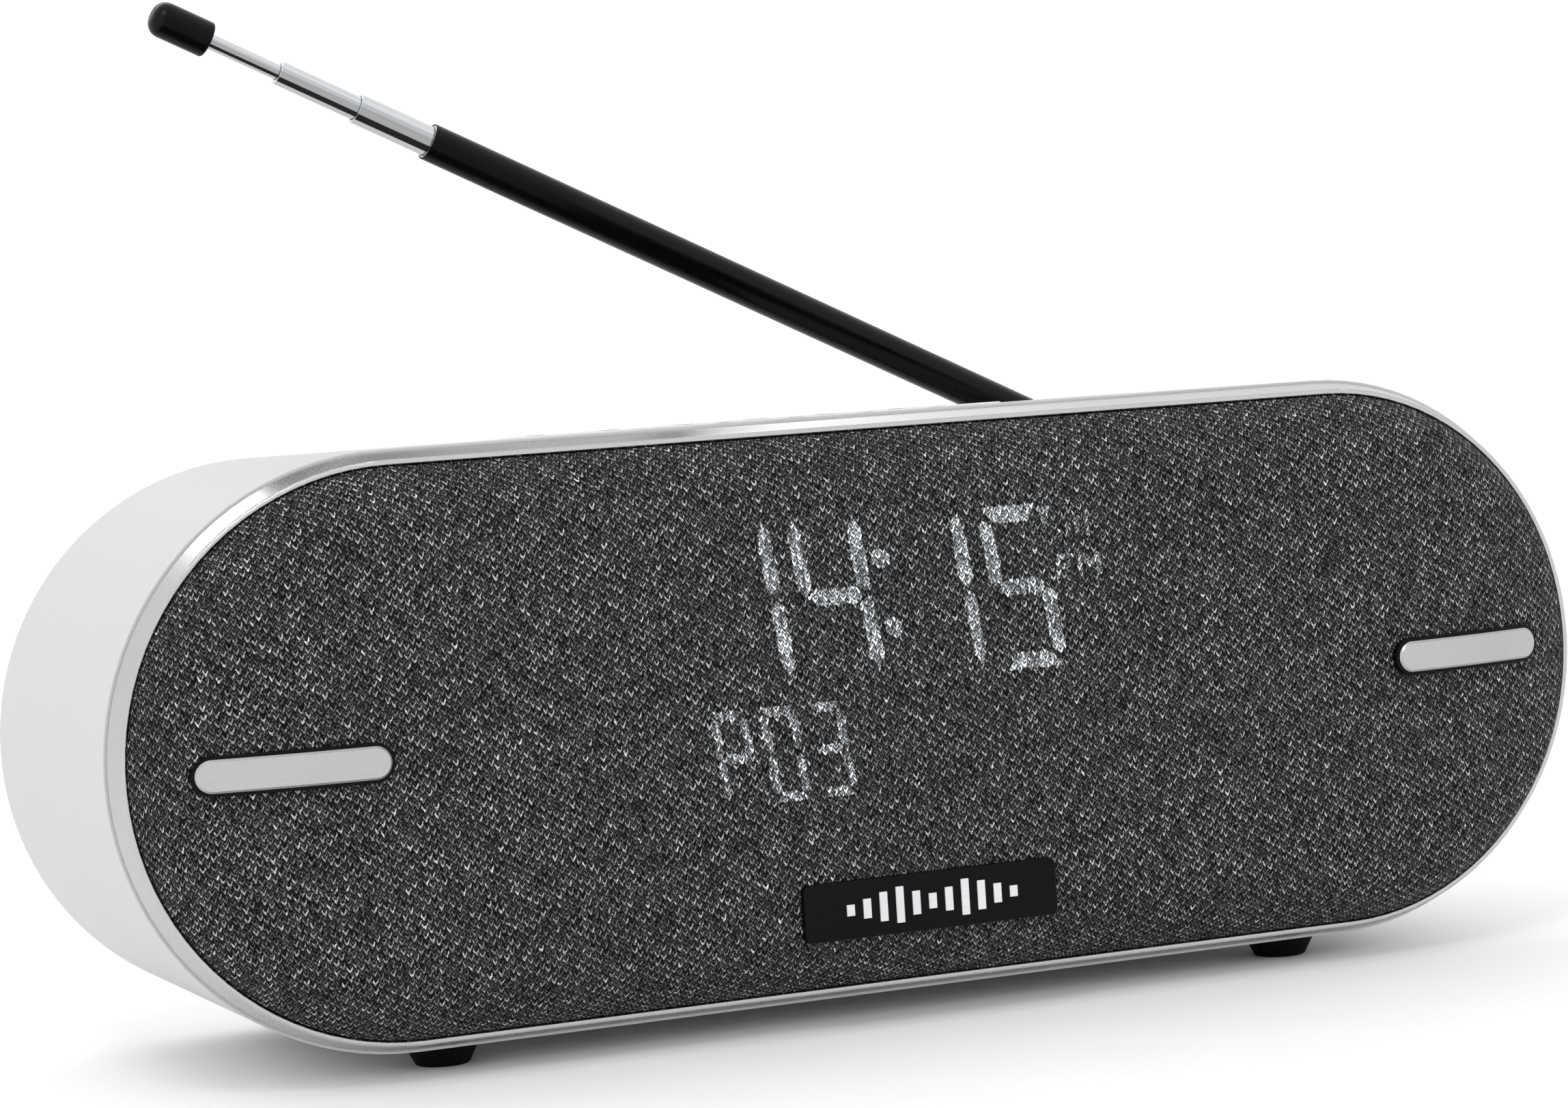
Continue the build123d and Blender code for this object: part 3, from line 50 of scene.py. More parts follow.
# --- White housing and rear panel ------------------------------------------------------------------
# The housing is one injection-moulded ABS sleeve, 2.4 mm thick and open at both ends. The rear
# panel is moulded from the same white ABS. It drops on a ledge inside the sleeve's back edge and
# eight pan-head screws hold it.


def linear(hex_colour):
    """An sRGB hex colour as linear red, green, blue and alpha."""
    channels = [int(hex_colour[i:i + 2], 16) / 255 for i in (1, 3, 5)]
    return [c / 12.92 if c <= 0.04045 else ((c + 0.055) / 1.055) ** 2.4 for c in channels] + [1.0]


def add_node(tree, kind, inputs=None, **settings):
    """Adds one node with its settings, and sets or links its inputs."""
    made = tree.nodes.new(kind)
    for name, value in settings.items():
        setattr(made, name, value)
    for socket, value in (inputs or {}).items():
        if isinstance(value, bpy.types.NodeSocket):
            tree.links.new(value, made.inputs[socket])
        else:
            made.inputs[socket].default_value = value
    return made


def new_surface(name, roughness, metallic=0.0, **sockets):
    """A material's node tree and shader, with what is the same all over set on the shader."""
    material = bpy.data.materials.new(name)
    material.use_nodes = True
    tree = material.node_tree
    shader = tree.nodes["Principled BSDF"]
    shader.inputs["Roughness"].default_value = roughness
    shader.inputs["Metallic"].default_value = metallic
    for socket, value in sockets.items():
        shader.inputs[socket.replace("_", " ")].default_value = value
    return material, tree, shader


CLOUDS = 60.0                   # the broad variation of a surface, in cycles to a metre
NOISE_LOW, NOISE_HIGH = 0.7, 1.3        # two noises added together lie mostly between these


def grained(name, light, dark, grain, relief, roughness, spread=0.05, stretch=(1, 1, 1), **sockets):
    """A surface of two close colours, with a grain of a real size in mm and its relief in mm."""
    material, tree, shader = new_surface(name, roughness, **sockets)
    spot = add_node(tree, "ShaderNodeTexCoord").outputs["Object"]
    spot = add_node(tree, "ShaderNodeMapping", {"Vector": spot, "Scale": stretch}).outputs[0]
    fine = add_node(tree, "ShaderNodeTexNoise",
                    {"Vector": spot, "Scale": 1000 / grain, "Detail": 3.0}).outputs[0]
    broad = add_node(tree, "ShaderNodeTexNoise",
                     {"Vector": spot, "Scale": CLOUDS, "Detail": 2.0}).outputs[0]
    both = add_node(tree, "ShaderNodeMath", {0: fine, 1: broad}, operation="ADD").outputs[0]
    share = add_node(tree, "ShaderNodeMapRange", {
        "Value": both, "From Min": NOISE_LOW, "From Max": NOISE_HIGH})
    colour = add_node(tree, "ShaderNodeMix", {"Factor": share.outputs[0], 6: linear(dark),
                                              7: linear(light)}, data_type="RGBA")
    gloss = add_node(tree, "ShaderNodeMapRange", {
        "Value": both, "From Min": NOISE_LOW, "From Max": NOISE_HIGH,
        "To Min": roughness - spread, "To Max": roughness + spread})
    bump = add_node(tree, "ShaderNodeBump", {"Height": fine, "Distance": relief / 1000})
    tree.links.new(colour.outputs[2], shader.inputs["Base Color"])
    tree.links.new(gloss.outputs[0], shader.inputs["Roughness"])
    tree.links.new(bump.outputs[0], shader.inputs["Normal"])
    return material


def dress(material, *names):
    """Gives CAD nodes their material."""
    for name in names:
        mesh = nodes[name].data
        mesh.materials.clear()
        mesh.materials.append(material)


# Spark-eroded moulding, 0.35 mm grain: a soft satin sheen with a faint broken highlight.
white_abs_satin = grained("moulded_white_abs_satin", "#CCCCCC", "#C9C9C9", 0.35, 0.004, 0.42,
                          Specular_IOR_Level=0.15)
dress(white_abs_satin, "main_housing")

# The panel's tool is left a little coarser, so it looks flatter than the sleeve round it.
white_abs_matt = grained("moulded_white_abs_matt", "#D3D3D3", "#CFCFCF", 0.5, 0.008, 0.5)
dress(white_abs_matt, "rear_panel", "aerial_clip")

# Zinc-plated steel, tumbled: cool grey with cloudy gloss.
zinc_plated_steel = grained("zinc_plated_steel", "#C9CCCE", "#A3A7AA", 0.9, 0.003, 0.34, 0.1,
                            metallic=1.0)
dress(zinc_plated_steel, "rear_screws", "inner_screws", "aerial_bracket")

# --- Front ring ------------------------------------------------------------------------------------
# A pressed aluminium ring, bead-blasted and clear anodised, that clips round the front. Its nose
# has a rounded edge, and its side flares out to the housing over a narrow black gap.

# Bead blasting with 0.12 mm beads is drawn at 0.3 mm, as it is too fine to show: a pale, dry metal
# that blurs what it reflects into one soft band.
anodised_aluminium = grained("bead_blasted_anodised_aluminium", "#C2C2C3", "#B8B8B9", 0.3, 0.002,
                             0.27, 0.04, metallic=1.0)
dress(anodised_aluminium, "front_ring")

# --- Baffle and grille frame -----------------------------------------------------------------------
# Black ABS mouldings behind the cloth. Only the baffle's lip shows, as the dark line between the
# ring and the housing; the rest is seen where the set is opened.

# Coarse black moulding grain: a dull grey-black with little gloss.
black_abs_grained = grained("moulded_black_abs_grained", "#141415", "#0D0D0E", 0.6, 0.01, 0.55,
                           Specular_IOR_Level=0.2)
dress(black_abs_grained, "front_baffle", "grille_frame")

# --- Grille cloth ----------------------------------------------------------------------------------
# A polyester knit of charcoal and pale grey yarn, stretched over the crowned frame and glued
# behind its edge. It is cut out under the trim bars and the badge. Sizes are in mm.
MM = 0.001
ring_low, ring_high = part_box("front_ring")
RING_Y = ring_low.y
AXIS_Z = (ring_low.z + ring_high.z) / 2
END_X = ((ring_high.x - ring_low.x) - (ring_high.z - ring_low.z)) / 2 / MM
OPENING_R = 40.0
TUCK = 0.15                     # gap between the cloth and the ring's inner wall
SKIRT = 2.2
CROWN = (RING_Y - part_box("grille_cloth")[0].y) / MM
FLAT_R = 28.0                   # the rolled edge starts here, from the long axis
ROLL_R = 13.0
SWEEP_X = 76.0                  # the ends sweep back from here
SWEEP_R = 105.0
BLEND = 1.2                     # how softly the roll runs into the sweep
CLOTH = 0.3


def place(x, depth, z):
    """A point from the middle of the ring's plane, in mm, as a place in the frame."""
    return Vector((x * MM, RING_Y + depth * MM, AXIS_Z + z * MM))


def cloth_front(x, radius):
    """How far the cloth stands in front of the ring's plane."""
    roll = math.sqrt(ROLL_R ** 2 - max(radius - FLAT_R, 0) ** 2) - ROLL_R + CROWN
    sweep = math.sqrt(SWEEP_R ** 2 - max(abs(x) - SWEEP_X, 0) ** 2) - SWEEP_R + CROWN
    overlap = max(BLEND - abs(roll - sweep), 0) / BLEND
    corner = overlap ** 2 * BLEND / 4 if sweep < CROWN else 0
    return max(min(roll, sweep) - corner, 0)


def knit_place(point):
    """Where a point of the stretched cloth lies on the flat cloth, in mm."""
    x, z = point.x / MM, (point.z - AXIS_Z) / MM
    beyond = math.copysign(max(abs(x) - END_X, 0), x)
    radius = math.hypot(beyond, z)
    flat = radius
    if radius > FLAT_R:
        ring = radius + TUCK * ((radius - FLAT_R) / (OPENING_R - FLAT_R)) ** 2
        flat = FLAT_R + ROLL_R * math.asin(min((ring - FLAT_R) / ROLL_R, 1))
        flat += max((point.y - RING_Y) / MM, 0)
    grow = flat / radius if radius > 0 else 1
    return Vector((x - beyond + beyond * grow, z * grow, 0))


def keep_knit_places(mesh):
    """Stores the flat places on the mesh, so that the knit follows the stretched cloth."""
    layer = mesh.attributes.new("knit", "FLOAT_VECTOR", "POINT")
    layer.data.foreach_set("vector", [c for v in mesh.vertices for c in knit_place(v.co)])


def new_piece(name, points, faces, material, body, smooth=True):
    """A mesh piece that rides on a body and wears the material it is given."""
    mesh = bpy.data.meshes.new(name)
    mesh.from_pydata(points, [], faces)
    mesh.validate()
    piece = bpy.data.objects.new(name, mesh)
    bpy.context.scene.collection.objects.link(piece)
    mesh.materials.append(material)
    mesh.polygons.foreach_set("use_smooth", [smooth] * len(mesh.polygons))
    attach(piece, body)
    return piece


def stadium(radius, straight_steps=75, round_steps=56):
    """Points round the outline with two round ends, anticlockwise from the upper right."""
    points = []
    for side in (1, -1):
        for step in range(round_steps):
            turn = math.pi / 2 * side - math.pi * step / round_steps
            points.append((side * END_X + radius * math.cos(turn), radius * math.sin(turn)))
        for step in range(straight_steps):
            x = side * END_X * (1 - 2 * step / straight_steps)
            points.append((x, -side * radius))
    return points


def slot_outline(half_length, radius, steps=16):
    """A flat slot's outline with round ends, about its middle."""
    points = []
    for side in (1, -1):
        for step in range(steps + 1):
            turn = math.pi / 2 * side - math.pi * step / steps
            points.append((side * (half_length - radius) + radius * math.cos(turn),
                           radius * math.sin(turn)))
    return points


def rounded_outline(width, height, radius, steps=8):
    """A rectangle's outline with round corners, about its middle."""
    points = []
    for quarter, (sx, sz) in enumerate(((1, 1), (1, -1), (-1, -1), (-1, 1))):
        for step in range(steps + 1):
            turn = math.pi / 2 * (1 - quarter - step / steps)
            points.append((sx * (width / 2 - radius) + radius * math.cos(turn),
                           sz * (height / 2 - radius) + radius * math.sin(turn)))
    return points


def prism(outline, front, back, x=0.0, z=0.0):
    """Points and faces of an outline between two depths."""
    count = len(outline)
    points = [place(x + px, depth, z + pz) for depth in (front, back) for px, pz in outline]
    faces = [tuple(range(count)), tuple(range(2 * count - 1, count - 1, -1))]
    for a in range(count):
        b = (a + 1) % count
        faces.append((a, a + count, b + count, b))
    return points, faces


def applied(piece):
    """Turns a piece's modifiers into its mesh."""
    piece.data = bpy.data.meshes.new_from_object(
        piece.evaluated_get(bpy.context.evaluated_depsgraph_get()))
    piece.modifiers.clear()


LAST_TUCKED = 0.35              # the last row behind the ring's plane
ROLL_DRAWN = 0.92               # share of the roll's radius that its rows span
ROLL_ROWS, FLAT_ROWS = 18, 15
rows = [(OPENING_R, SKIRT), (OPENING_R, SKIRT / 2), (OPENING_R, LAST_TUCKED)]
rows += [(OPENING_R - ROLL_R * ROLL_DRAWN * (step / ROLL_ROWS), None)
         for step in range(ROLL_ROWS + 1)]
rows += [(FLAT_R * (1 - step / FLAT_ROWS), None) for step in range(FLAT_ROWS + 1)]
cloth_points, cloth_faces = [], []
for row_radius, depth in rows:
    inward = TUCK * (max(row_radius - FLAT_R, 0) / (OPENING_R - FLAT_R)) ** 2
    for px, pz in stadium(row_radius - inward):
        reach = END_X + row_radius if abs(px) > END_X + row_radius else abs(px)
        stand = -cloth_front(reach, row_radius) if depth is None else depth
        cloth_points.append(place(px, stand, pz))
ring_count = len(stadium(1))
for row in range(len(rows) - 1):
    for a in range(ring_count):
        b = (a + 1) % ring_count
        start = row * ring_count
        cloth_faces.append((start + a, start + b, start + ring_count + b, start + ring_count + a))

# The two yarns are air-textured polyester. Each stitch is a V of two rounded legs, 0.87 mm wide
# on rows 0.66 mm apart, and pale yarn comes up in every other stitch as a half-drop spot. The
# eye reads it as a dry charcoal heather with pale flecks.
COLUMN_PITCH = 0.87
ROW_PITCH = 0.66
ROW_RISE = math.radians(8.0)    # rows climb to the right where the cloth was pulled on
COLUMN_LEAN = math.radians(2.5)
LEG_RISE = 1.25                 # how far a leg climbs over half a column, in rows
PALE_LEAST, PALE_MOST = 0.21, 0.60      # share of pale yarn in a stitch
DULL_MOST = 0.11                # share of pale yarn that shows in a charcoal stitch


def knit_surface(name, lit):
    """The knit's material; lit adds the display's light in the stitches, as it is seen through."""
    material, tree, shader = new_surface(name, 0.85, Specular_IOR_Level=0.05)
    flat = add_node(tree, "ShaderNodeAttribute", attribute_name="knit").outputs["Vector"]
    wander = add_node(tree, "ShaderNodeTexNoise", {"Vector": flat, "Scale": 0.9, "Detail": 2.0})
    shift = add_node(tree, "ShaderNodeVectorMath", {0: wander.outputs["Color"], 1: (0.5, 0.5, 0.5)},
                     operation="SUBTRACT").outputs[0]
    moved = add_node(tree, "ShaderNodeVectorMath", {0: shift, 1: (0.5, 0.5, 0.0), 2: flat},
                     operation="MULTIPLY_ADD").outputs[0]
    axes = add_node(tree, "ShaderNodeSeparateXYZ", {0: moved}).outputs
    fibre = add_node(tree, "ShaderNodeTexNoise", {"Vector": flat, "Scale": 2.6, "Detail": 2.0})
    cloud = add_node(tree, "ShaderNodeTexNoise", {"Vector": flat, "Scale": 0.28, "Detail": 2.0})
    made = {"x": axes[0], "y": axes[1], "fibre": fibre.outputs[0], "cloud": cloud.outputs[0]}
    turn = math.cos(ROW_RISE - COLUMN_LEAN)

    # Each row is a result's name, what is done, whether it is held in 0 to 1, and its three inputs.
    # First the point's column, and its level counted in pale stitches, each a V with a round foot.
    lattice = (
        ("along_x", "MULTIPLY", 0, "x", math.cos(COLUMN_LEAN) / turn / COLUMN_PITCH, 0),
        ("along", "MULTIPLY_ADD", 0, "y", math.sin(COLUMN_LEAN) / turn / COLUMN_PITCH, "along_x"),
        ("up_y", "MULTIPLY", 0, "y", math.cos(ROW_RISE) / turn / ROW_PITCH, 0),
        ("up", "MULTIPLY_ADD", 0, "x", -math.sin(ROW_RISE) / turn / ROW_PITCH, "up_y"),
        ("column", "FLOOR", 0, "along", 0, 0),
        ("odd", "MODULO", 0, "column", 2, 0),
        ("half_drop", "MULTIPLY", 0, "odd", 0.5, 0),
        ("across", "FRACT", 0, "along", 0, 0),
        ("centred", "SUBTRACT", 0, "across", 0.5, 0),
        ("off_centre", "ABSOLUTE", 0, "centred", 0, 0),
        ("beside", "MULTIPLY", 0, "off_centre", 2, 0),
        ("squared", "MULTIPLY_ADD", 0, "beside", "beside", 0.035),
        ("rounded", "SQRT", 0, "squared", 0, 0),
        ("raised", "MULTIPLY_ADD", 0, "up", 0.5, "half_drop"),
        ("level", "MULTIPLY_ADD", 0, "rounded", -LEG_RISE / 2, "raised"),
        ("stitch", "FLOOR", 0, "level", 0, 0),
        ("within", "FRACT", 0, "level", 0, 0),
        ("doubled", "MULTIPLY", 0, "along", 2, 0),
        ("leg", "FLOOR", 0, "doubled", 0, 0),
    )
    # Then the two yarns. The pale leg fills the lower half of each cell and the charcoal leg the
    # upper. A stitch, a leg and the fibres each vary in how much pale yarn shows.
    yarns = (
        ("pale_low", "SUBTRACT", 0, "within", 0.3, 0),
        ("pale_off", "ABSOLUTE", 0, "pale_low", 0, 0),
        ("pale_gap", "SUBTRACT", 0, 0.23, "pale_off", 0),
        ("pale_leg", "MULTIPLY", 1, "pale_gap", 10, 0),
        ("dark_low", "SUBTRACT", 0, "within", 0.8, 0),
        ("dark_off", "ABSOLUTE", 0, "dark_low", 0, 0),
        ("dark_gap", "SUBTRACT", 0, 0.17, "dark_off", 0),
        ("dark_leg", "MULTIPLY", 1, "dark_gap", 8, 0),
        ("edge_gap", "SUBTRACT", 0, 1.0, "beside", 0),
        ("edge", "MULTIPLY", 1, "edge_gap", 7, 0),
        ("fine", "MULTIPLY_ADD", 1, "fibre", 3.2, -1.1),
        ("shown", "POWER", 0, "by_stitch", 2.2, 0),
        ("pale_1", "MULTIPLY_ADD", 0, "shown", PALE_MOST - PALE_LEAST, PALE_LEAST),
        ("leg_share", "MULTIPLY_ADD", 0, "by_leg", 0.8, 0.2),
        ("pale_2", "MULTIPLY", 0, "pale_1", "leg_share", 0),
        ("pale_3", "MULTIPLY", 0, "pale_2", "pale_leg", 0),
        ("fine_share", "MULTIPLY_ADD", 0, "fine", 1.5, 0.15),
        ("pale_4", "MULTIPLY", 0, "pale_3", "fine_share", 0),
        ("cloud_share", "MULTIPLY_ADD", 0, "cloud", 0.3, 0.85),
        ("pale", "MULTIPLY", 0, "pale_4", "cloud_share", 0),
        ("dull_share", "MULTIPLY_ADD", 0, "by_under", DULL_MOST, 0.005),
        ("dull_1", "MULTIPLY", 0, "dark_leg", "dull_share", 0),
        ("dull", "MULTIPLY", 0, "dull_1", "fine_share", 0),
        ("both", "MAXIMUM", 0, "pale", "dull", 0),
        ("cover", "MULTIPLY", 1, "both", "edge", 0),
        ("any_leg", "MAXIMUM", 0, "pale_leg", "dark_leg", 0),
        ("rope", "MULTIPLY", 0, "any_leg", "edge", 0),
        ("relief", "MULTIPLY_ADD", 0, "fine", 0.3, "rope"),
    )
    # Last the light: it comes through where a leg is thin, so it breaks up stitch by stitch and
    # its rim is ragged.
    light = (
        ("leg_reach", "SUBTRACT", 0, "glow", 0.5, 0),
        ("ragged_1", "MULTIPLY_ADD", 0, "by_leg", 0.5, "leg_reach"),
        ("ragged", "MULTIPLY", 1, "ragged_1", 3.0, 0),
        ("keen", "POWER", 0, "by_leg", 1.8, 0),
        ("bright", "MULTIPLY_ADD", 0, "keen", 0.85, 0.15),
        ("dimmed", "MULTIPLY", 0, "dark_leg", 0.6, 0),
        ("open", "MAXIMUM", 0, "pale_leg", "dimmed", 0),
        ("through_1", "MULTIPLY", 0, "open", "edge", 0),
        ("through_2", "MULTIPLY_ADD", 0, "through_1", 0.93, 0.07),
        ("through_3", "MULTIPLY", 0, "through_2", "bright", 0),
        ("through_4", "MULTIPLY", 0, "through_3", "fine_share", 0),
        ("through_5", "MULTIPLY", 0, "through_4", "ragged", 0),
        ("lit", "MULTIPLY", 0, "through_5", lit, 0),
    )
    seeds = (("by_stitch", "column", 0.5), ("by_leg", "leg", 7.5), ("by_under", "leg", 3.5))
    if lit:
        made["glow"] = add_node(tree, "ShaderNodeAttribute", attribute_name="glow").outputs["Fac"]
    for steps in (lattice, yarns, light if lit else ()):
        for step, operation, held, *values in steps:
            sockets = {index: made.get(value, value) for index, value in enumerate(values)}
            made[step] = add_node(tree, "ShaderNodeMath", sockets, operation=operation,
                                  use_clamp=bool(held)).outputs[0]
        for chance, across, seed in seeds if steps is lattice else ():
            cell = add_node(tree, "ShaderNodeCombineXYZ",
                            {0: made[across], 1: made["stitch"], 2: seed})
            made[chance] = add_node(tree, "ShaderNodeTexWhiteNoise", {"Vector": cell.outputs[0]},
                                    noise_dimensions="3D").outputs[0]
    yarn = add_node(tree, "ShaderNodeMix", {"Factor": made["cover"], 6: linear("#080808"),
                                            7: linear("#FFFFFF")}, data_type="RGBA")
    bump = add_node(tree, "ShaderNodeBump", {"Height": made["relief"], "Distance": 0.12 * MM,
                                             "Strength": 0.8})
    tree.links.new(yarn.outputs[2], shader.inputs["Base Color"])
    tree.links.new(bump.outputs[0], shader.inputs["Normal"])
    if lit:
        tree.links.new(made["lit"], shader.inputs["Emission Strength"])
        shader.inputs["Emission Color"].default_value = linear("#F4FAFF")
    return material


charcoal_knit = knit_surface("charcoal_polyester_knit", 0.0)
cloth = new_piece("grille_cloth_stretched", cloth_points, cloth_faces, charcoal_knit, "radio")
shaped = bmesh.new()
shaped.from_mesh(cloth.data)
bmesh.ops.remove_doubles(shaped, verts=shaped.verts, dist=0.01 * MM)
bmesh.ops.recalc_face_normals(shaped, faces=shaped.faces)
middle = min(shaped.faces, key=lambda f: (f.calc_center_median() - place(0, -CROWN, 0)).length)
if middle.normal.y > 0:
    bmesh.ops.reverse_faces(shaped, faces=shaped.faces)
shaped.to_mesh(cloth.data)
shaped.free()
thick = cloth.modifiers.new("thickness", "SOLIDIFY")
thick.thickness = CLOTH * MM
thick.offset = -1.0
applied(cloth)

bar_low, bar_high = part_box("trim_base_right")
badge_low, badge_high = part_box("badge_plate")
BASE_X = (bar_low.x + bar_high.x) / 2 / MM
BASE_HALF = (bar_high.x - bar_low.x) / 2 / MM
BASE_R = (bar_high.z - bar_low.z) / 2 / MM
BADGE_Z = ((badge_low.z + badge_high.z) / 2 - AXIS_Z) / MM
BADGE_WIDTH = (badge_high.x - badge_low.x) / MM
BADGE_HEIGHT = (badge_high.z - badge_low.z) / MM
UNDERLAP = 0.15                 # the trim covers the cut edge by this much
BADGE_CORNER = 1.0
CUT_FRONT = -14                 # the cutters start well before the cloth
BASE_CUT_BACK, BADGE_CUT_BACK = 3, 0
base_cut = slot_outline(BASE_HALF - UNDERLAP, BASE_R - UNDERLAP)
badge_cut = rounded_outline(BADGE_WIDTH - 2 * UNDERLAP, BADGE_HEIGHT - 2 * UNDERLAP, BADGE_CORNER)
cuts = [prism(base_cut, CUT_FRONT, BASE_CUT_BACK, x=side * BASE_X) for side in (-1, 1)]
cuts.append(prism(badge_cut, CUT_FRONT, BADGE_CUT_BACK, z=BADGE_Z))
for cut_points, cut_faces in cuts:
    cutter = new_piece("cutter", cut_points, cut_faces, charcoal_knit, "radio")
    opening = cloth.modifiers.new("opening", "BOOLEAN")
    opening.operation = "DIFFERENCE"
    opening.object = cutter
    applied(cloth)
    bpy.data.objects.remove(cutter)
keep_knit_places(cloth.data)
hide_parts("grille_cloth")

# --- Trim bars and badge ---------------------------------------------------------------------------
# Each bar is a satin aluminium insert with a bright-cut edge, pressed into a black ABS base that
# grips the cloth with pegs. The badge is a gloss black plate with a raised pale print.

# Black ABS with a polished tool: deep black, a narrow clean highlight.
black_abs_polished = grained("moulded_black_abs_polished", "#070707", "#040404", 0.8, 0.002, 0.25,
                             Specular_IOR_Level=0.1)
dress(black_abs_polished, "trim_base_left", "trim_base_right", "badge_plate")

# Bead-blasted and anodised like the ring, but duller and greyer on its flat face.
bar_aluminium = grained("satin_anodised_aluminium_insert", "#BEBEBF", "#B2B2B3", 0.35, 0.005,
                        0.42, 0.06, metallic=1.0)
dress(bar_aluminium, "trim_bar_left", "trim_bar_right")

# Pad-printed silver ink: pale grey, slightly dry, and thicker at its edges.
silver_ink = grained("pad_printed_silver_ink", "#E3E4E6", "#D2D3D5", 0.25, 0.01, 0.45, 0.05)
dress(silver_ink, "badge_marks")

# --- Feet ------------------------------------------------------------------------------------------
# Four moulded rubber cones, pushed into the housing by their plugs.

# Nitrile rubber, as moulded: charcoal black, matt, with a soft dusty bloom.
foot_rubber = grained("moulded_nitrile_rubber", "#080808", "#040404", 0.5, 0.012, 0.7,
                       Specular_IOR_Level=0.12)
dress(foot_rubber, "foot_front_left", "foot_front_right", "foot_rear_left", "foot_rear_right")

# --- Speakers --------------------------------------------------------------------------------------
# Two full-range drivers behind the cloth: a pressed steel basket, a ferrite ring magnet, a paper
# cone on a rubber half-roll, and a foam gasket against the baffle.

# Electro-coated pressed steel: even black with a faint orange peel.
coated_steel = grained("electrocoated_steel", "#232425", "#191A1B", 1.2, 0.006, 0.4)
dress(coated_steel, "speaker_basket_left", "speaker_basket_right")

# Sintered ferrite, ground on its faces: dark grey, fine and dry.
ferrite = grained("ground_ferrite", "#3B3B3D", "#2C2C2E", 0.4, 0.01, 0.6)
dress(ferrite, "speaker_magnet_left", "speaker_magnet_right")

# Pressed paper pulp: soft grey-black with visible long fibres.
paper_pulp = grained("pressed_paper_pulp", "#33322F", "#23221F", 0.7, 0.03, 0.85,
                     stretch=(0.4, 1, 1))
dress(paper_pulp, "speaker_cone_left", "speaker_cone_right")

# Butyl rubber, moulded: black and slightly glossy.
butyl_rubber = grained("moulded_butyl_rubber", "#161617", "#101011", 0.8, 0.005, 0.45)
dress(butyl_rubber, "speaker_surround_left", "speaker_surround_right")

# Closed-cell foam, die cut: dark grey with open pits.
gasket_foam = grained("die_cut_foam", "#2C2C2D", "#1B1B1C", 0.5, 0.08, 0.9)
dress(gasket_foam, "speaker_gasket_left", "speaker_gasket_right")

# --- Display ---------------------------------------------------------------------------------------
# White light box with a diffuser in each segment, on its board behind the cloth. Lit segments
# show through the knit as bright stitches, so the light seen on the cloth is a skin over it.

# Titanium-filled white ABS: bright, fully opaque and matt, so light stays in its well.
light_box_abs = grained("moulded_titanium_white_abs", "#F3F3F1", "#E9E9E6", 0.5, 0.006, 0.55)
dress(light_box_abs, "display_light_box")

# Opal acrylic, moulded: milky with a wet surface.
opal_acrylic = grained("moulded_opal_acrylic", "#F2F6F8", "#E3E8EB", 2.0, 0.001, 0.15, 0.03,
                       Transmission_Weight=0.25, IOR=1.49)
dress(opal_acrylic, "display_segments")

# Glass-epoxy board under green solder mask: green weave showing faintly through a gloss coat.
solder_mask = grained("solder_masked_glass_epoxy", "#1E6B43", "#185636", 0.5, 0.006, 0.3,
                      Coat_Weight=0.4, Coat_Roughness=0.15)
dress(solder_mask, "display_board", "main_board", "key_board")

# Polyimide film: amber, smooth, with copper tracks under it as lengthwise bands.
polyimide = grained("polyimide_ribbon", "#C98A2B", "#A86C1B", 1.0, 0.004, 0.3,
                    stretch=(1, 0.05, 0.05))
dress(polyimide, "display_ribbon")

LEAN = math.tan(math.radians(8.0))      # tops of the figures lean to the left
SKIN = 0.06                     # the lit skin stands this far before the cloth
SOFT_EDGE = 0.55                # width over which the light fades at a segment's edge
SEGMENTS = {"0": "abcdef", "1": "bc", "3": "abcdg", "4": "bcfg", "5": "acdfg", "P": "abefg"}
FREE_SIGNS = "14"               # their uprights run on to a point, with no bar across the end
SEGMENT_GAP = 0.22              # between two bars, in strokes
LEVEL_WIDER = 1.12              # a level bar's weight against an upright's
LEVEL_OUT = 0.6                 # how far a level bar's outer corners run out, in half strokes
FREE_END = 0.473                # a free upright's tip from the figure's middle, in heights
JOINED_SHORT = 0.9              # a joined upright's tip below the figure's top, in strokes
JOINED_CUT = 0.4                # how far its outer corner is cut back, in half strokes


def segment_shape(name, width, height, stroke, free):
    """A seven-segment bar with slanted ends, about the figure's middle; free uprights run on."""
    half, gap = stroke / 2, stroke * SEGMENT_GAP
    side, top = width / 2 - half, height / 2 - half
    if name in "adg":
        half *= LEVEL_WIDER
        z = {"a": top, "d": -top, "g": 0.0}[name]
        run = side - gap
        if name == "g":
            return [(-run, z), (half - run, z + half), (run - half, z + half), (run, z),
                    (run - half, z - half), (half - run, z - half)]
        out = math.copysign(half, z)
        return [(-run - half * LEVEL_OUT, z + out), (run + half * LEVEL_OUT, z + out),
                (run - half, z - out), (half - run, z - out)]
    x = side if name in "bc" else -side
    up = 1 if name in "bf" else -1
    out = math.copysign(half, x)
    if free:
        end = height * FREE_END
        return [(x, up * gap), (x - out, up * (gap + half)), (x - out, up * (end - stroke)),
                (x, up * end), (x + out, up * (end - stroke)), (x + out, up * (gap + half))]
    end = height / 2 - stroke * JOINED_SHORT
    return [(x, up * gap), (x - out, up * (gap + half)), (x - out, up * (end - half)),
            (x, up * end), (x + out, up * (end - half * JOINED_CUT)), (x + out, up * (gap + half))]


def leaned(shape, x, z):
    """A shape moved to its place and slanted about the line's middle height."""
    return [(x + px - pz * LEAN, z + pz) for px, pz in shape]


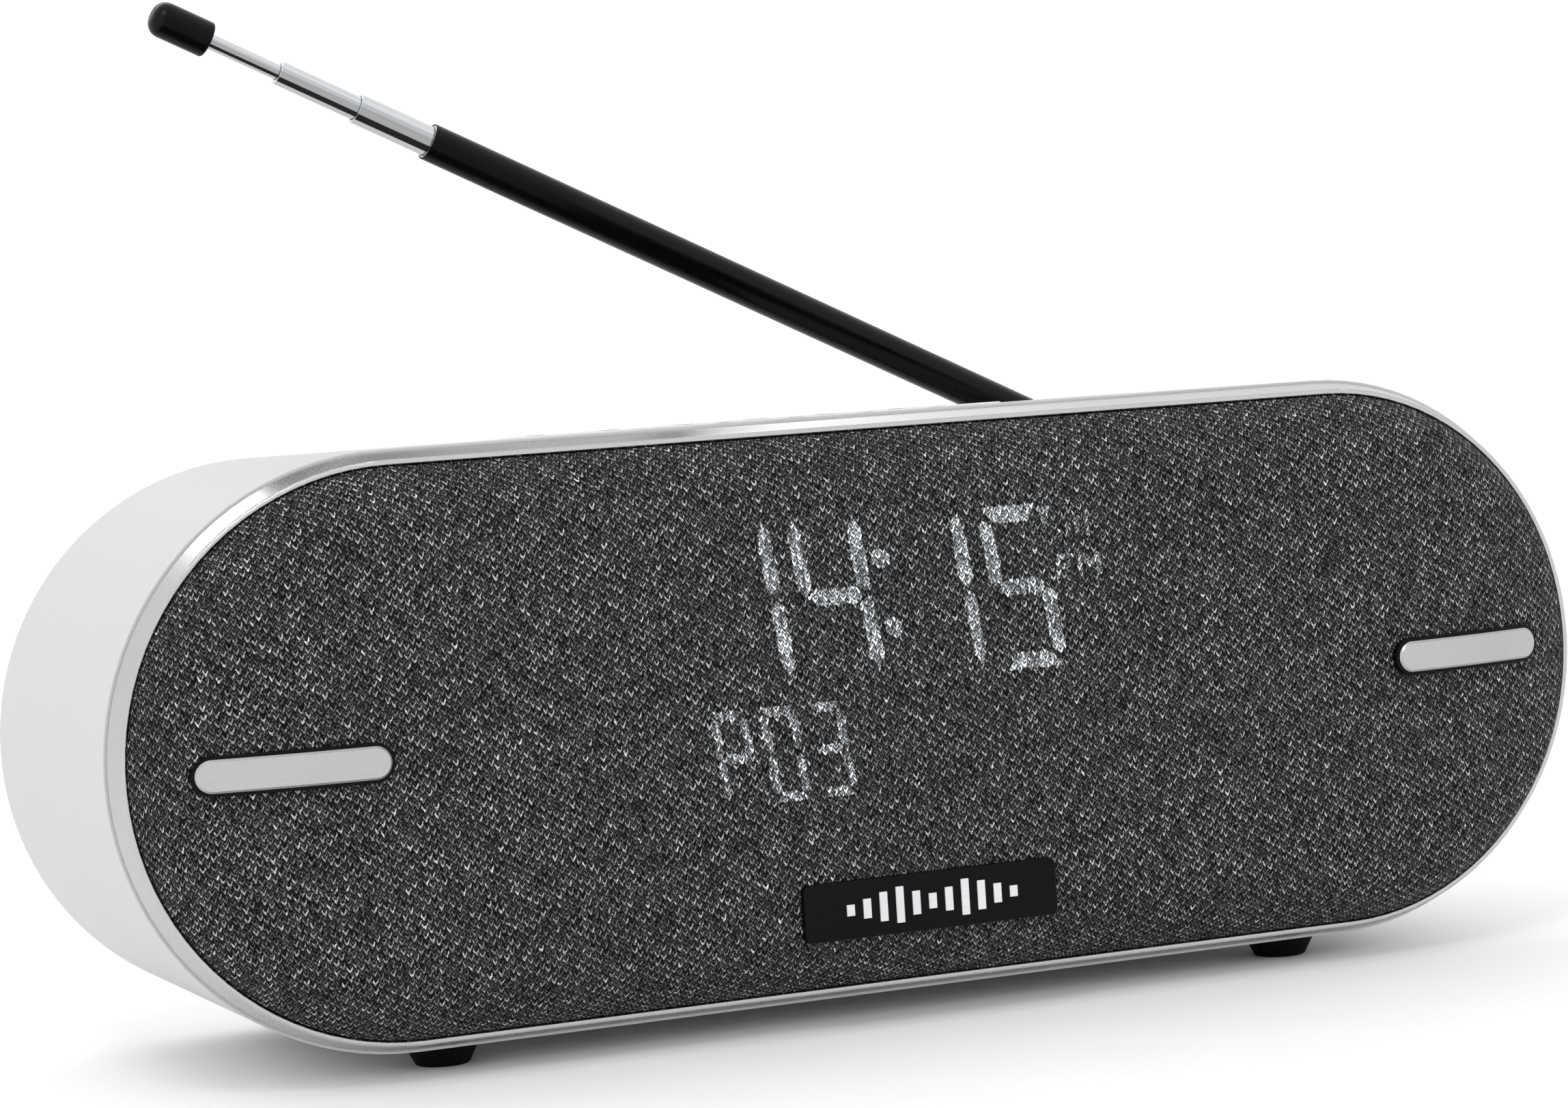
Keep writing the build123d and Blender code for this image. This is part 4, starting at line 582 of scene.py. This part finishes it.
def figure(sign, x, z, width, height, stroke):
    """All lit bars of one figure."""
    return [leaned(segment_shape(name, width, height, stroke, sign in FREE_SIGNS), x, z)
            for name in SEGMENTS[sign]]


def strokes(lines, x, z, weight):
    """Straight strokes of one weight as four-sided shapes."""
    shapes = []
    for x1, z1, x2, z2 in lines:
        run = Vector((x2 - x1, z2 - z1)).normalized() * weight / 2
        shapes.append([(x + x1 - run.y, z + z1 + run.x), (x + x2 - run.y, z + z2 + run.x),
                       (x + x2 + run.y, z + z2 - run.x), (x + x1 + run.y, z + z1 - run.x)])
    return shapes


ROW_TURN = -0.036               # the upper line runs down to the right by this slope
ROW_TURN_X = -6.0               # and turns about this place
FIGURE_Z, FIGURE_HEIGHT, FIGURE_STROKE = 16.7, 23.4, 2.0
FIGURES = (("1", -25.4, 10.4), ("4", -11.8, 11.3), ("1", 5.0, 10.4), ("5", 17.9, 10.2))
COLON_X, COLON_RISE, DOT_R, DOT_SIDES = -3.75, 5.0, 1.35, 12
LETTER_Z, LETTER_WIDTH, LETTER_HEIGHT, LETTER_STROKE = -4.7, 5.6, 13.4, 1.15
figures = []
for sign, x, width in FIGURES:
    figures += figure(sign, x, FIGURE_Z + ROW_TURN * (x - ROW_TURN_X), width, FIGURE_HEIGHT,
                      FIGURE_STROKE)
dot = [(DOT_R * math.cos(math.tau * k / DOT_SIDES), DOT_R * math.sin(math.tau * k / DOT_SIDES))
       for k in range(DOT_SIDES)]
for level in (-COLON_RISE, COLON_RISE):
    figures.append(leaned(dot, COLON_X - level * LEAN, FIGURE_Z + level))
letters = []
for sign, x in (("P", -28.8), ("0", -21.2), ("3", -13.9)):
    letters += figure(sign, x, LETTER_Z, LETTER_WIDTH, LETTER_HEIGHT, LETTER_STROKE)

# A mast and reception bars, and the letters of the plain FM band.
small_signs = strokes([(0, 0, 0, 2.9), (0, 1.6, -1.0, 2.9), (0, 1.6, 1.0, 2.9)], 22.0, 24.2, 0.6)
small_signs += strokes([(1.5 * k, 0, 1.5 * k, 1.0 + 0.9 * k) for k in range(4)], 24.4, 22.6, 0.75)
small_signs += strokes([(0, 0, 0, 3.4), (0, 3.1, 2.3, 3.1), (0, 1.7, 2.0, 1.7),
                        (3.6, 0, 3.6, 3.4), (3.6, 3.3, 5.1, 1.4), (5.1, 1.4, 6.6, 3.3),
                        (6.6, 0, 6.6, 3.4)], 24.0, 16.6, 0.65)


def clockwise(shape):
    """A flat shape's points in clockwise order."""
    turns = [(b[0] - a[0]) * (b[1] + a[1]) for a, b in zip(shape, shape[1:] + shape[:1])]
    return shape[::-1] if sum(turns) < 0 else shape


def glow_piece(name, shapes, soft, lit):
    """A thin skin over the cloth for each lit shape, whose light fades towards its rim."""
    points, faces, fade = [], [], []
    for shape in map(clockwise, shapes):
        rims = {}
        for offset in (-soft / 2, soft / 2):
            moved = []
            for before, here, after in zip(shape[-1:] + shape[:-1], shape, shape[1:] + shape[:1]):
                a = (Vector(here) - Vector(before)).normalized()
                b = (Vector(after) - Vector(here)).normalized()
                normal = Vector((-a.y - b.y, a.x + b.x)).normalized()
                reach = offset / max(normal.dot(Vector((-a.y, a.x))), 0.5)
                moved.append(Vector(here) + normal * reach)
            rims[offset] = moved
        start, count = len(points), len(shape)
        for depth in (-CROWN - SKIN, -CROWN - SKIN / 2):
            for offset, share in ((-soft / 2, 1.0), (soft / 2, 0.0)):
                points += [place(p.x, depth, p.y) for p in rims[offset]]
                fade += [share] * count
        for k in range(count):
            j = (k + 1) % count
            faces.append((start + k, start + j, start + count + j, start + count + k))
            faces.append((start + count + k, start + count + j, start + 3 * count + j,
                          start + 3 * count + k))
        faces.append(tuple(start + k for k in range(count))[::-1])
        faces.append(tuple(start + 3 * count + k for k in range(count)))
    skin = new_piece(name, points, faces, knit_surface("lit_" + name, lit), "radio",
                     smooth=False)
    keep_knit_places(skin.data)
    layer = skin.data.attributes.new("glow", "FLOAT", "POINT")
    layer.data.foreach_set("value", fade)
    return skin


# The large figures are driven hardest, and the small signs least.
glow_piece("display_figures_lit", figures, soft=SOFT_EDGE, lit=1.5)
glow_piece("display_letters_lit", letters, soft=SOFT_EDGE * 0.8, lit=1.1)
glow_piece("display_signs_lit", small_signs, soft=0.3, lit=0.8)

# --- Electronics -----------------------------------------------------------------------------------
# The main board lies behind the speakers with its tuner can on top, the cell in a cradle below,
# and the aux and charging sockets at its rear edge.

# Tin-plated steel can, folded: bright, faintly rippled.
tin_plate = grained("tin_plated_steel", "#D3D4D2", "#BFC0BE", 3.0, 0.02, 0.25, 0.06, metallic=1.0)
dress(tin_plate, "tuner_module", "charge_socket")

# Heat-shrunk PVC sleeve: light blue, glossy, a little wavy.
shrink_sleeve = grained("heat_shrunk_pvc", "#2F7FB8", "#2871A6", 4.0, 0.03, 0.28)
dress(shrink_sleeve, "battery_pack")

# Glass-filled black nylon: matt with pale flecks of glass.
black_nylon = grained("glass_filled_nylon", "#202021", "#151516", 0.3, 0.008, 0.55)
dress(black_nylon, "battery_tray", "aux_socket")

# --- Keys ------------------------------------------------------------------------------------------
# Seven white ABS caps in a pale grey bezel on top, over tactile switches on a small board. Each
# cap carries a plain printed sign.

# Bezel in light grey ABS, finely grained.
bezel_abs = grained("moulded_grey_abs", "#C9CACB", "#BFC0C1", 0.35, 0.006, 0.45)
dress(bezel_abs, "key_bezel")

# Caps polished a little by the tool: softer highlight than the sleeve, brighter white.
key_abs = grained("moulded_white_abs_keycap", "#E2E2E2", "#DEDEDE", 0.3, 0.003, 0.3)
dress(black_nylon, "key_switches")

KEY_NAMES = ("power", "source", "back", "play", "next", "volume_down", "volume_up")
LINE = 0.34                     # weight of a printed line
ARROW_HALF = 0.58               # half an arrowhead's height against its length


def arc(x, z, radius, start, end, steps=14):
    """A ring sector drawn with a line's weight."""
    turns = [math.radians(start + (end - start) * k / steps) for k in range(steps + 1)]
    outer, inner = ([(x + rim * math.cos(t), z + rim * math.sin(t)) for t in turns]
                    for rim in (radius + LINE / 2, radius - LINE / 2))
    return [[outer[k], outer[k + 1], inner[k + 1], inner[k]] for k in range(steps)]


def triangle(x, size):
    """A solid arrowhead; a negative size points left."""
    half = abs(size) * ARROW_HALF
    return [(x - size / 2, half), (x + size / 2, 0.0), (x - size / 2, -half)]


KEY_SIGNS = {
    "power": arc(0, -0.1, 1.15, 125, 415) + strokes([(0, 0.2, 0, 1.5)], 0, 0, LINE),
    "source": strokes([(-1.3, 0.6, 0.9, 0.6), (1.3, -0.6, -0.9, -0.6)], 0, 0, LINE)
    + [[(0.7, 1.15), (1.6, 0.6), (0.7, 0.05)], [(-0.7, -1.15), (-1.6, -0.6), (-0.7, -0.05)]],
    "back": [triangle(-0.75, -1.4), triangle(0.75, -1.4)],
    "play": [triangle(-0.7, 1.6)]
    + strokes([(0.85, -0.9, 0.85, 0.9), (1.55, -0.9, 1.55, 0.9)], 0, 0, LINE),
    "next": [triangle(-0.75, 1.4), triangle(0.75, 1.4)],
    "volume_down": strokes([(-1.2, 0, 1.2, 0)], 0, 0, LINE),
    "volume_up": strokes([(-1.2, 0, 1.2, 0), (0, -1.2, 0, -0.17), (0, 0.17, 0, 1.2)], 0, 0, LINE),
}
INK = 0.04                      # the print stands this far above the cap
SWEEP_BACK = math.radians(1.4)  # the deck falls towards the rear by the housing's draft

# Pad-printed grey ink: flat mid grey with a soft edge.
grey_ink = grained("pad_printed_grey_ink", "#6E7072", "#646668", 0.2, 0.004, 0.5)
for name in KEY_NAMES:
    dress(key_abs, "key_" + name)
    low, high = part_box("key_" + name)
    cap_middle = (low + high) / 2
    # The cap's top is its highest face; its middle lies on the sloping deck.
    top = max((v.co for v in nodes["key_" + name].data.vertices), key=lambda c: c.z)
    rise = Vector((0, math.sin(SWEEP_BACK), math.cos(SWEEP_BACK)))
    across = Vector((0, math.cos(SWEEP_BACK), -math.sin(SWEEP_BACK)))
    level = top.dot(rise)
    centre = Vector((cap_middle.x, cap_middle.y, 0))
    centre.z = (level - centre.y * rise.y) / rise.z
    ink_points, ink_faces = [], []
    for shape in KEY_SIGNS[name]:
        shape = clockwise(shape)[::-1]
        start, count = len(ink_points), len(shape)
        for lift in (INK, -INK):
            ink_points += [centre + Vector((px * MM, 0, 0)) + across * pz * MM + rise * lift * MM
                           for px, pz in shape]
        ink_faces.append(tuple(start + k for k in range(count)))
        ink_faces.append(tuple(start + count + k for k in range(count))[::-1])
        for k in range(count):
            j = (k + 1) % count
            ink_faces.append((start + k, start + count + k, start + count + j, start + j))
    new_piece("key_sign_" + name, ink_points, ink_faces, grey_ink, name + "_key",
              smooth=False)

# --- Aerial ----------------------------------------------------------------------------------------
# A swivel on the rear panel carries the folding arm: a black-sleeved brass tube, three chromed
# sections that slide into each other, and a moulded cap. A hook holds it when it is folded.

# Satin chrome over brass, drawn: bright, with fine lengthwise lines.
tilt = next(joint for joint in frame["joints"] if joint["name"] == "aerial_tilt")
RAISED = math.atan2(abs(tilt["axis"][0]), abs(tilt["axis"][2]))
drawn_chrome, tree, shader = new_surface("chromed_drawn_brass", 0.12, metallic=1.0)
spot = add_node(tree, "ShaderNodeTexCoord").outputs["Object"]
turned = add_node(tree, "ShaderNodeMapping", {"Vector": spot, "Rotation": (0, -RAISED, 0)})
lined = add_node(tree, "ShaderNodeMapping", {"Vector": turned.outputs[0], "Scale": (0.02, 1, 1)})
DRAWN_LINE = 0.4                # breadth of a drawing line
lines = add_node(tree, "ShaderNodeTexNoise",
                 {"Vector": lined.outputs[0], "Scale": 1000 / DRAWN_LINE, "Detail": 2.0})
gloss = add_node(tree, "ShaderNodeMapRange",
                 {"Value": lines.outputs[0], "To Min": 0.05, "To Max": 0.14})
tint = add_node(tree, "ShaderNodeMix", {"Factor": lines.outputs[0], 6: linear("#C2C4C7"),
                                        7: linear("#DFE1E3")}, data_type="RGBA")
tree.links.new(tint.outputs[2], shader.inputs["Base Color"])
tree.links.new(gloss.outputs[0], shader.inputs["Roughness"])
dress(drawn_chrome, "aerial_outer_tube", "aerial_middle_tube", "aerial_inner_tube", "aerial_rod",
      "aerial_knuckle")

# Shrunk-on polyolefin sleeve: black, satin, with a barely wavy skin.
sleeve_polyolefin = grained("shrunk_polyolefin_sleeve", "#070707", "#040404", 0.6, 0.002, 0.28,
                            Specular_IOR_Level=0.15)
dress(sleeve_polyolefin, "aerial_sleeve", "aerial_cap")

# Black-oxide brass swivel: near black with a dull metal edge.
oxide_brass = grained("black_oxide_brass", "#26272A", "#1B1C1E", 0.5, 0.004, 0.4, 0.08,
                      metallic=0.6)
dress(oxide_brass, "aerial_swivel")
dress(zinc_plated_steel, "aerial_pin", "aerial_circlip")

# --- Studio ----------------------------------------------------------------------------------------
# A wide white table under a broad soft sky, with a soft box above the front left. A board behind
# the set is seen in gloss only, and five small cards by the aerial show only in its chrome.
scene = bpy.context.scene
scene.view_settings.view_transform = "Standard"

floor_mesh = bpy.data.meshes.new("floor")
FLOOR = 6.0                     # half the table's side, in metres
floor_corners = [(-FLOOR, -FLOOR, 0), (FLOOR, -FLOOR, 0), (FLOOR, FLOOR, 0), (-FLOOR, FLOOR, 0)]
floor_mesh.from_pydata(floor_corners, [], [(0, 1, 2, 3)])
floor = bpy.data.objects.new("floor", floor_mesh)
scene.collection.objects.link(floor)

# Matt white laminate: even and shadow-holding.
floor_mesh.materials.append(grained("matt_white_laminate", "#FFFFFF", "#FDFDFD", 2.0, 0.002, 0.8))

world = bpy.data.worlds.new("soft_sky")
scene.world = world
world.use_nodes = True
sky = world.node_tree
direction = add_node(sky, "ShaderNodeTexCoord").outputs["Generated"]
upward = add_node(sky, "ShaderNodeSeparateXYZ", {0: direction}).outputs[2]
fall = add_node(sky, "ShaderNodeMapRange", {"Value": upward, "From Min": 0.2, "From Max": 0.9,
                                           "To Min": 1.14, "To Max": 1.04})
sky.links.new(fall.outputs[0], sky.nodes["Background"].inputs["Strength"])
sky.nodes["Background"].inputs["Color"].default_value = (1, 1, 1, 1)


def soft_light(name, location, target, width, height, watts):
    """A rectangular soft box aimed at a point."""
    data = bpy.data.lights.new(name, "AREA")
    data.shape = "RECTANGLE"
    data.size, data.size_y = width, height
    data.energy = watts
    lamp = bpy.data.objects.new(name, data)
    lamp.location = location
    lamp.rotation_mode = "QUATERNION"
    lamp.rotation_quaternion = (Vector(target) - Vector(location)).to_track_quat("-Z", "Y")
    lamp.visible_camera = False
    scene.collection.objects.link(lamp)
    return lamp


soft_light("key_light", (-0.45, -0.6, 1.0), (0, 0, 0.05), width=0.45, height=0.3, watts=2.4)

# The board behind and above the set whitens the upper left of the ring.
ring_light = soft_light("ring_board", (-0.02, 0.95, 1.0), (-0.05, 0, 0.09), width=1.2, height=0.5,
                        watts=4.6)
ring_light.visible_diffuse = False

# The cards along the arm give it its dark line and grey middle, and stay where they are when it
# moves. Each is a start and an end along the arm from its pivot and two corners (ahead, above),
# all in mm, and then its shade.
aerial_cards = {
    "black_card_below": (8, 186, (25, -20), (0, -20), "#303030"),
    "black_card_before": (8, 104, (26, -22), (26, 6), "#050505"),
    "grey_card_before": (100, 190, (26, -20), (26, 9), "#CCCCCC"),
    "pale_card_before": (100, 190, (26, 9), (26, 32), "#E8E8E8"),
    "grey_card_behind": (100, 190, (0, -20), (-60, -20), "#E8E8E8"),
}
pivot_low, pivot_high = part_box("aerial_pin")
pivot = (pivot_low + pivot_high) / 2
along_arm = Vector((-math.cos(RAISED), 0, math.sin(RAISED)))
over_arm = Vector((math.sin(RAISED), 0, math.cos(RAISED)))
for name, (start, end, low, high, shade) in aerial_cards.items():
    corners = [pivot + (along_arm * run + over_arm * above + Vector((0, -ahead, 0))) * MM
               for run, (ahead, above) in ((start, low), (end, low), (end, high), (start, high))]
    card_mesh = bpy.data.meshes.new(name)
    card_mesh.from_pydata(corners, [], [(0, 1, 2, 3)])
    card_surface = new_surface("card_" + name, 0.9, Specular_IOR_Level=0.0,
                               Base_Color=linear("#000000"), Emission_Color=linear(shade),
                               Emission_Strength=1.0)[0]
    card_mesh.materials.append(card_surface)
    card = bpy.data.objects.new(name, card_mesh)
    scene.collection.objects.link(card)
    card.visible_camera = card.visible_diffuse = card.visible_shadow = False
    card.visible_transmission = card.visible_volume_scatter = False

# The camera stands a little left of the front and just above the set's middle.
camera_data = bpy.data.cameras.new("camera")
camera_data.lens = 107.76
camera_data.sensor_width = 36.0
camera = bpy.data.objects.new("camera", camera_data)
scene.collection.objects.link(camera)
AZIMUTH, ELEVATION, ROLL = -0.416336, 0.0542326, -0.0627761         # radians
CAMERA_PLACE = (-0.287704, -0.647863, 0.105174)
back = Vector((math.sin(AZIMUTH) * math.cos(ELEVATION), -math.cos(AZIMUTH) * math.cos(ELEVATION),
               math.sin(ELEVATION)))
right = (-back).cross(Vector((0, 0, 1))).normalized()
up = right.cross(-back)
camera_x = right * math.cos(ROLL) + up * math.sin(ROLL)
camera_y = up * math.cos(ROLL) - right * math.sin(ROLL)
camera.matrix_world = Matrix.Translation(CAMERA_PLACE) @ Matrix(
    (camera_x, camera_y, back)).transposed().to_4x4()
scene.camera = camera
